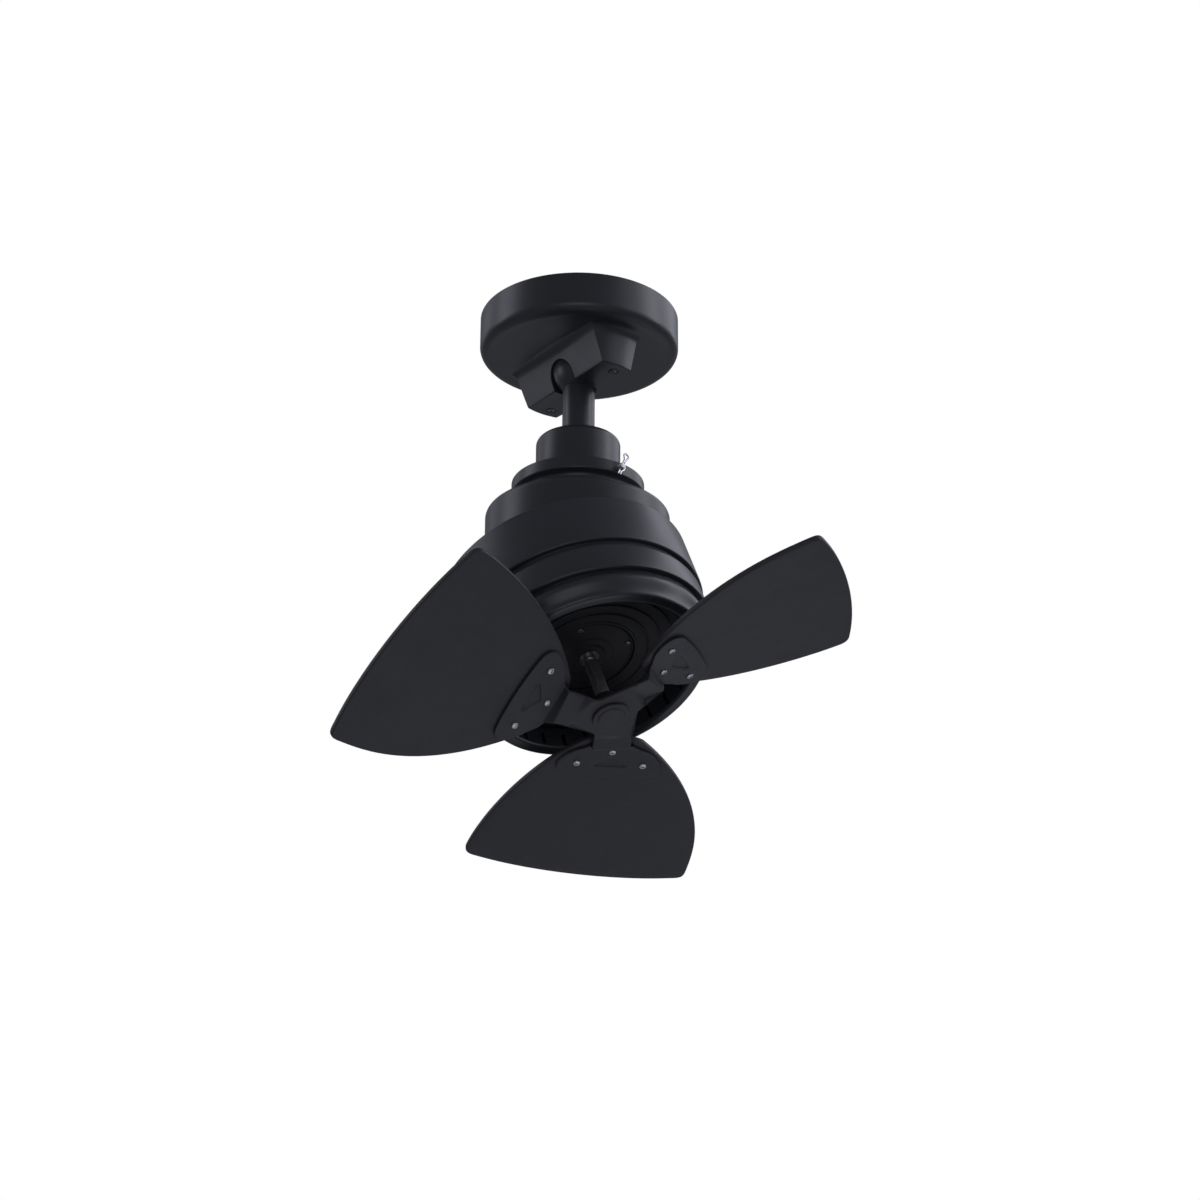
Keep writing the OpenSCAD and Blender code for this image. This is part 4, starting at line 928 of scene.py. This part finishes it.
def build_spider():
    """The pressed spider: a flat hub, three pitched arms and a step up to each pad."""
    cos_p, sin_p = math.cos(math.radians(PITCH)), math.sin(math.radians(PITCH))
    tan_p = sin_p / cos_p
    press, ramp, hub_hole, screw_hole = 1.1, 1.0, 7.0, 1.8

    def pad_y(v):
        return (v - PAD_SHIFT) * cos_p

    def arm_y(v):
        return (v - PAD_SHIFT) * cos_p + NECK_DROP * sin_p

    def step_start(y):
        across = (y - NECK_DROP * sin_p) / cos_p + PAD_SHIFT
        return STEP_START + 0.17 * min(20.0, max(-16.0, across))

    turns = [math.radians(BLADE_PHASE + 120 * i) for i in range(3)]

    def plan(i, x, y):
        c, s = math.cos(turns[i]), math.sin(turns[i])
        return (x * c - y * s, x * s + y * c)

    def own(i, p):
        c, s = math.cos(turns[i]), math.sin(turns[i])
        return (p[0] * c + p[1] * s, -p[0] * s + p[1] * c)

    # Each arm has a straight lower edge and an upper edge that tapers outwards
    low_y, high_y, taper_at, taper_run = arm_y(NECK_LOW), arm_y(NECK_HIGH), 26, 10
    fall = (arm_y(NECK_HIGH - taper_run * NECK_TAPER) - high_y) / taper_run
    level = high_y - taper_at * fall
    cos_t, sin_t = math.cos(math.radians(120)), math.sin(math.radians(120))
    meet_x = (low_y - cos_t * level) / (-sin_t + cos_t * fall)
    corners = []
    for i in range(3):
        corners.append((*plan(i, STEP_START - 2.2, low_y), 3.0))
        corners += [(*plan(i, u, pad_y(v)), 0) for u, v in pad_outline()]
        corners.append((*plan(i, STEP_START + 1.5, level + fall * (STEP_START + 1.5)), 2.0))
        corners.append((*plan(i, meet_x, level + fall * meet_x), 6.0))
    outline = []
    for q in fillet(corners, 8):
        if not outline or (Vector(q) - Vector(outline[-1])).length > 0.3:
            outline.append(q)
    tri = fillet([(PAD_IN + 6.0, 0, 2.2), (PAD_OUT + 3.8, -17.5, 2.2),
                  (PAD_OUT + 3.8, 17.5, 2.2)], 6)

    def height(p):
        best = max(range(3), key=lambda i: own(i, p)[0])
        u, y = own(best, p)
        pad_z = -PAD_DROP + y * tan_p
        arm_z = pad_z - NECK_DROP / cos_p
        start = step_start(y)
        up = smooth((u - start) / (STEP_END - start))
        twist = smooth((u - FLAT_END) / (TWIST_END - FLAT_END))
        z = -HUB_DROP * (1 - twist) + (arm_z * (1 - up) + pad_z * up) * twist
        if u > PAD_IN + 5.0:
            z += press * smooth(loop_distance((u, y / cos_p + PAD_SHIFT), tri) / ramp)
        return z

    # The mesh follows each step, each twist and the rim of each pressed triangle
    across = [low_y - 5.0 + j for j in range(50)]
    lines = []
    for i in range(3):
        for k in range(10):
            lines.append([plan(i, step_start(y) + (STEP_END - step_start(y)) * k / 9, y)
                          for y in across])
        for k in range(7):
            u = FLAT_END + (TWIST_END - FLAT_END) * k / 6
            lines.append([plan(i, u, y) for y in across])
        for off in (0.0, ramp / 3, 2 * ramp / 3, ramp):
            loop = inward(tri, off) if off else tri
            loop = loop + loop[:1]
            lines.append([plan(i, u, pad_y(v)) for u, v in loop])
    holes = [circle(0, 0, hub_hole, 40)]
    for i in range(3):
        for x, y in PAD_SCREWS:
            holes.append(circle(*plan(i, x, pad_y(y)), screw_hole, 20))

    def low(p):
        return (p[0], p[1], height(p))

    def high(p):
        return (p[0], p[1], height(p) + SPIDER_T)

    verts, faces = plate_data(outline, holes, low, high, 0.45, 2.0, 3, lines)
    make("spider_pressing", verts, faces, HEAD, "rotor", SPIDER,
         ("blade_spider",), 50.0)


# ---- camera, lights and stage ----

def build_stage():
    """The camera fitted to the photo, the studio's world, its lights and the floor."""
    scene = bpy.context.scene
    right, fwd, up = (Vector(v) for v in ((0.72003, -0.69397, 0.00557), (0.63167, 0.65866, 0.40894),
                                          (-0.28747, -0.29097, 0.91262)))
    cam = bpy.data.cameras.new("camera")
    cam.lens = 96.0
    cam.sensor_width = 36.0
    cam.clip_end = 50.0
    obj = bpy.data.objects.new("camera", cam)
    axes = Matrix((right, up, -fwd)).transposed().to_4x4()
    obj.matrix_world = Matrix.Translation((-1.60765, -1.7033, -1.30391)) @ axes
    scene.collection.objects.link(obj)
    scene.camera = obj

    world = bpy.data.worlds.new("studio")
    world.use_nodes = True
    tree = world.node_tree
    tree.nodes.clear()
    out = tree.nodes.new("ShaderNodeOutputWorld")
    sky = tree.nodes.new("ShaderNodeBackground")
    sky.inputs["Color"].default_value = (0.94, 0.97, 1.1, 1)
    sky.inputs["Strength"].default_value = 0.2
    white = tree.nodes.new("ShaderNodeBackground")
    white.inputs["Color"].default_value = (1.0, 1.0, 1.0, 1)
    white.inputs["Strength"].default_value = 1.0
    path = tree.nodes.new("ShaderNodeLightPath")
    mix = tree.nodes.new("ShaderNodeMixShader")
    tree.links.new(path.outputs["Is Camera Ray"], mix.inputs["Fac"])
    tree.links.new(sky.outputs["Background"], mix.inputs[1])
    tree.links.new(white.outputs["Background"], mix.inputs[2])
    tree.links.new(mix.outputs["Shader"], out.inputs["Surface"])
    scene.world = world
    scene.view_settings.view_transform = "Standard"

    centre = Vector((0, 0, -0.26))
    flat_fwd = Vector((fwd.x, fwd.y, 0)).normalized()

    def area(name, offset, size, power):
        light = bpy.data.lights.new(name, "AREA")
        light.shape = "RECTANGLE"
        light.size, light.size_y = size
        light.energy = power
        light.color = (0.95, 0.97, 1.08)
        lamp = bpy.data.objects.new(name, light)
        at = centre + right * offset[0] - flat_fwd * offset[1] + Vector((0, 0, offset[2]))
        lamp.matrix_world = (Matrix.Translation(at)
                             @ (centre - at).to_track_quat("-Z", "Y").to_matrix().to_4x4())
        lamp.visible_camera = False
        scene.collection.objects.link(lamp)

    area("left_softbox", (-1.5, 0.0, 0.65), (0.6, 1.6), 5.0)
    area("right_softbox", (1.5, 0.0, 0.65), (0.6, 1.6), 8.0)
    area("right_front", (1.3, 0.75, 0.65), (0.6, 1.6), 2.2)
    area("right_back", (1.15, -0.85, 0.95), (0.8, 1.2), 4.0)
    area("left_back", (-1.25, -0.95, 0.75), (0.5, 1.4), 1.2)
    area("low_back", (0.1, -1.15, -0.75), (1.8, 0.2), 0.9)
    area("low_fill", (0.6, -0.1, -1.5), (1.3, 1.3), 2.8)
    area("front_fill", (0.0, 1.7, -0.3), (1.0, 1.0), 3.0)

    floor = bpy.data.meshes.new("floor")
    size, low_z = 9.0, -2.4
    corners = [(x * size, y * size, low_z) for x, y in ((-1, -1), (1, -1), (1, 1), (-1, 1))]
    floor.from_pydata(corners, [], [(0, 1, 2, 3)])
    ground = bpy.data.objects.new("floor", floor)
    n = Nodes("pale_floor")
    n.link(n.ramp(n.noise(3.0), (0.8, 0.8, 0.8), (0.86, 0.86, 0.86)), n.bsdf.inputs["Base Color"])
    n.bsdf.inputs["Roughness"].default_value = 0.9
    n.bsdf.inputs["Emission Color"].default_value = (0.97, 0.98, 1.0, 1)
    seen = n.tree.nodes.new("ShaderNodeLightPath").outputs["Is Camera Ray"]
    n.link(n.to_range(seen, 0.0, 0.62), n.bsdf.inputs["Emission Strength"])
    floor.materials.append(n.mat)
    scene.collection.objects.link(ground)


slot_of = {s["node"]: s["material_slot"] for s in frame["record"]["subparts"]}
for node_name, node_obj in frame["nodes"].items():
    for material_slot in node_obj.material_slots:
        material_slot.material = SLOT_MATERIALS[slot_of[node_name]]
for material_slot in frame["nodes"]["retaining_ring"].material_slots:
    material_slot.material = DIM

build_canopy()
build_neck()
build_clevis()
build_shells()
build_lower_ring()
build_motor_face()
build_shaft()
build_blades()
build_spider()
build_stage()
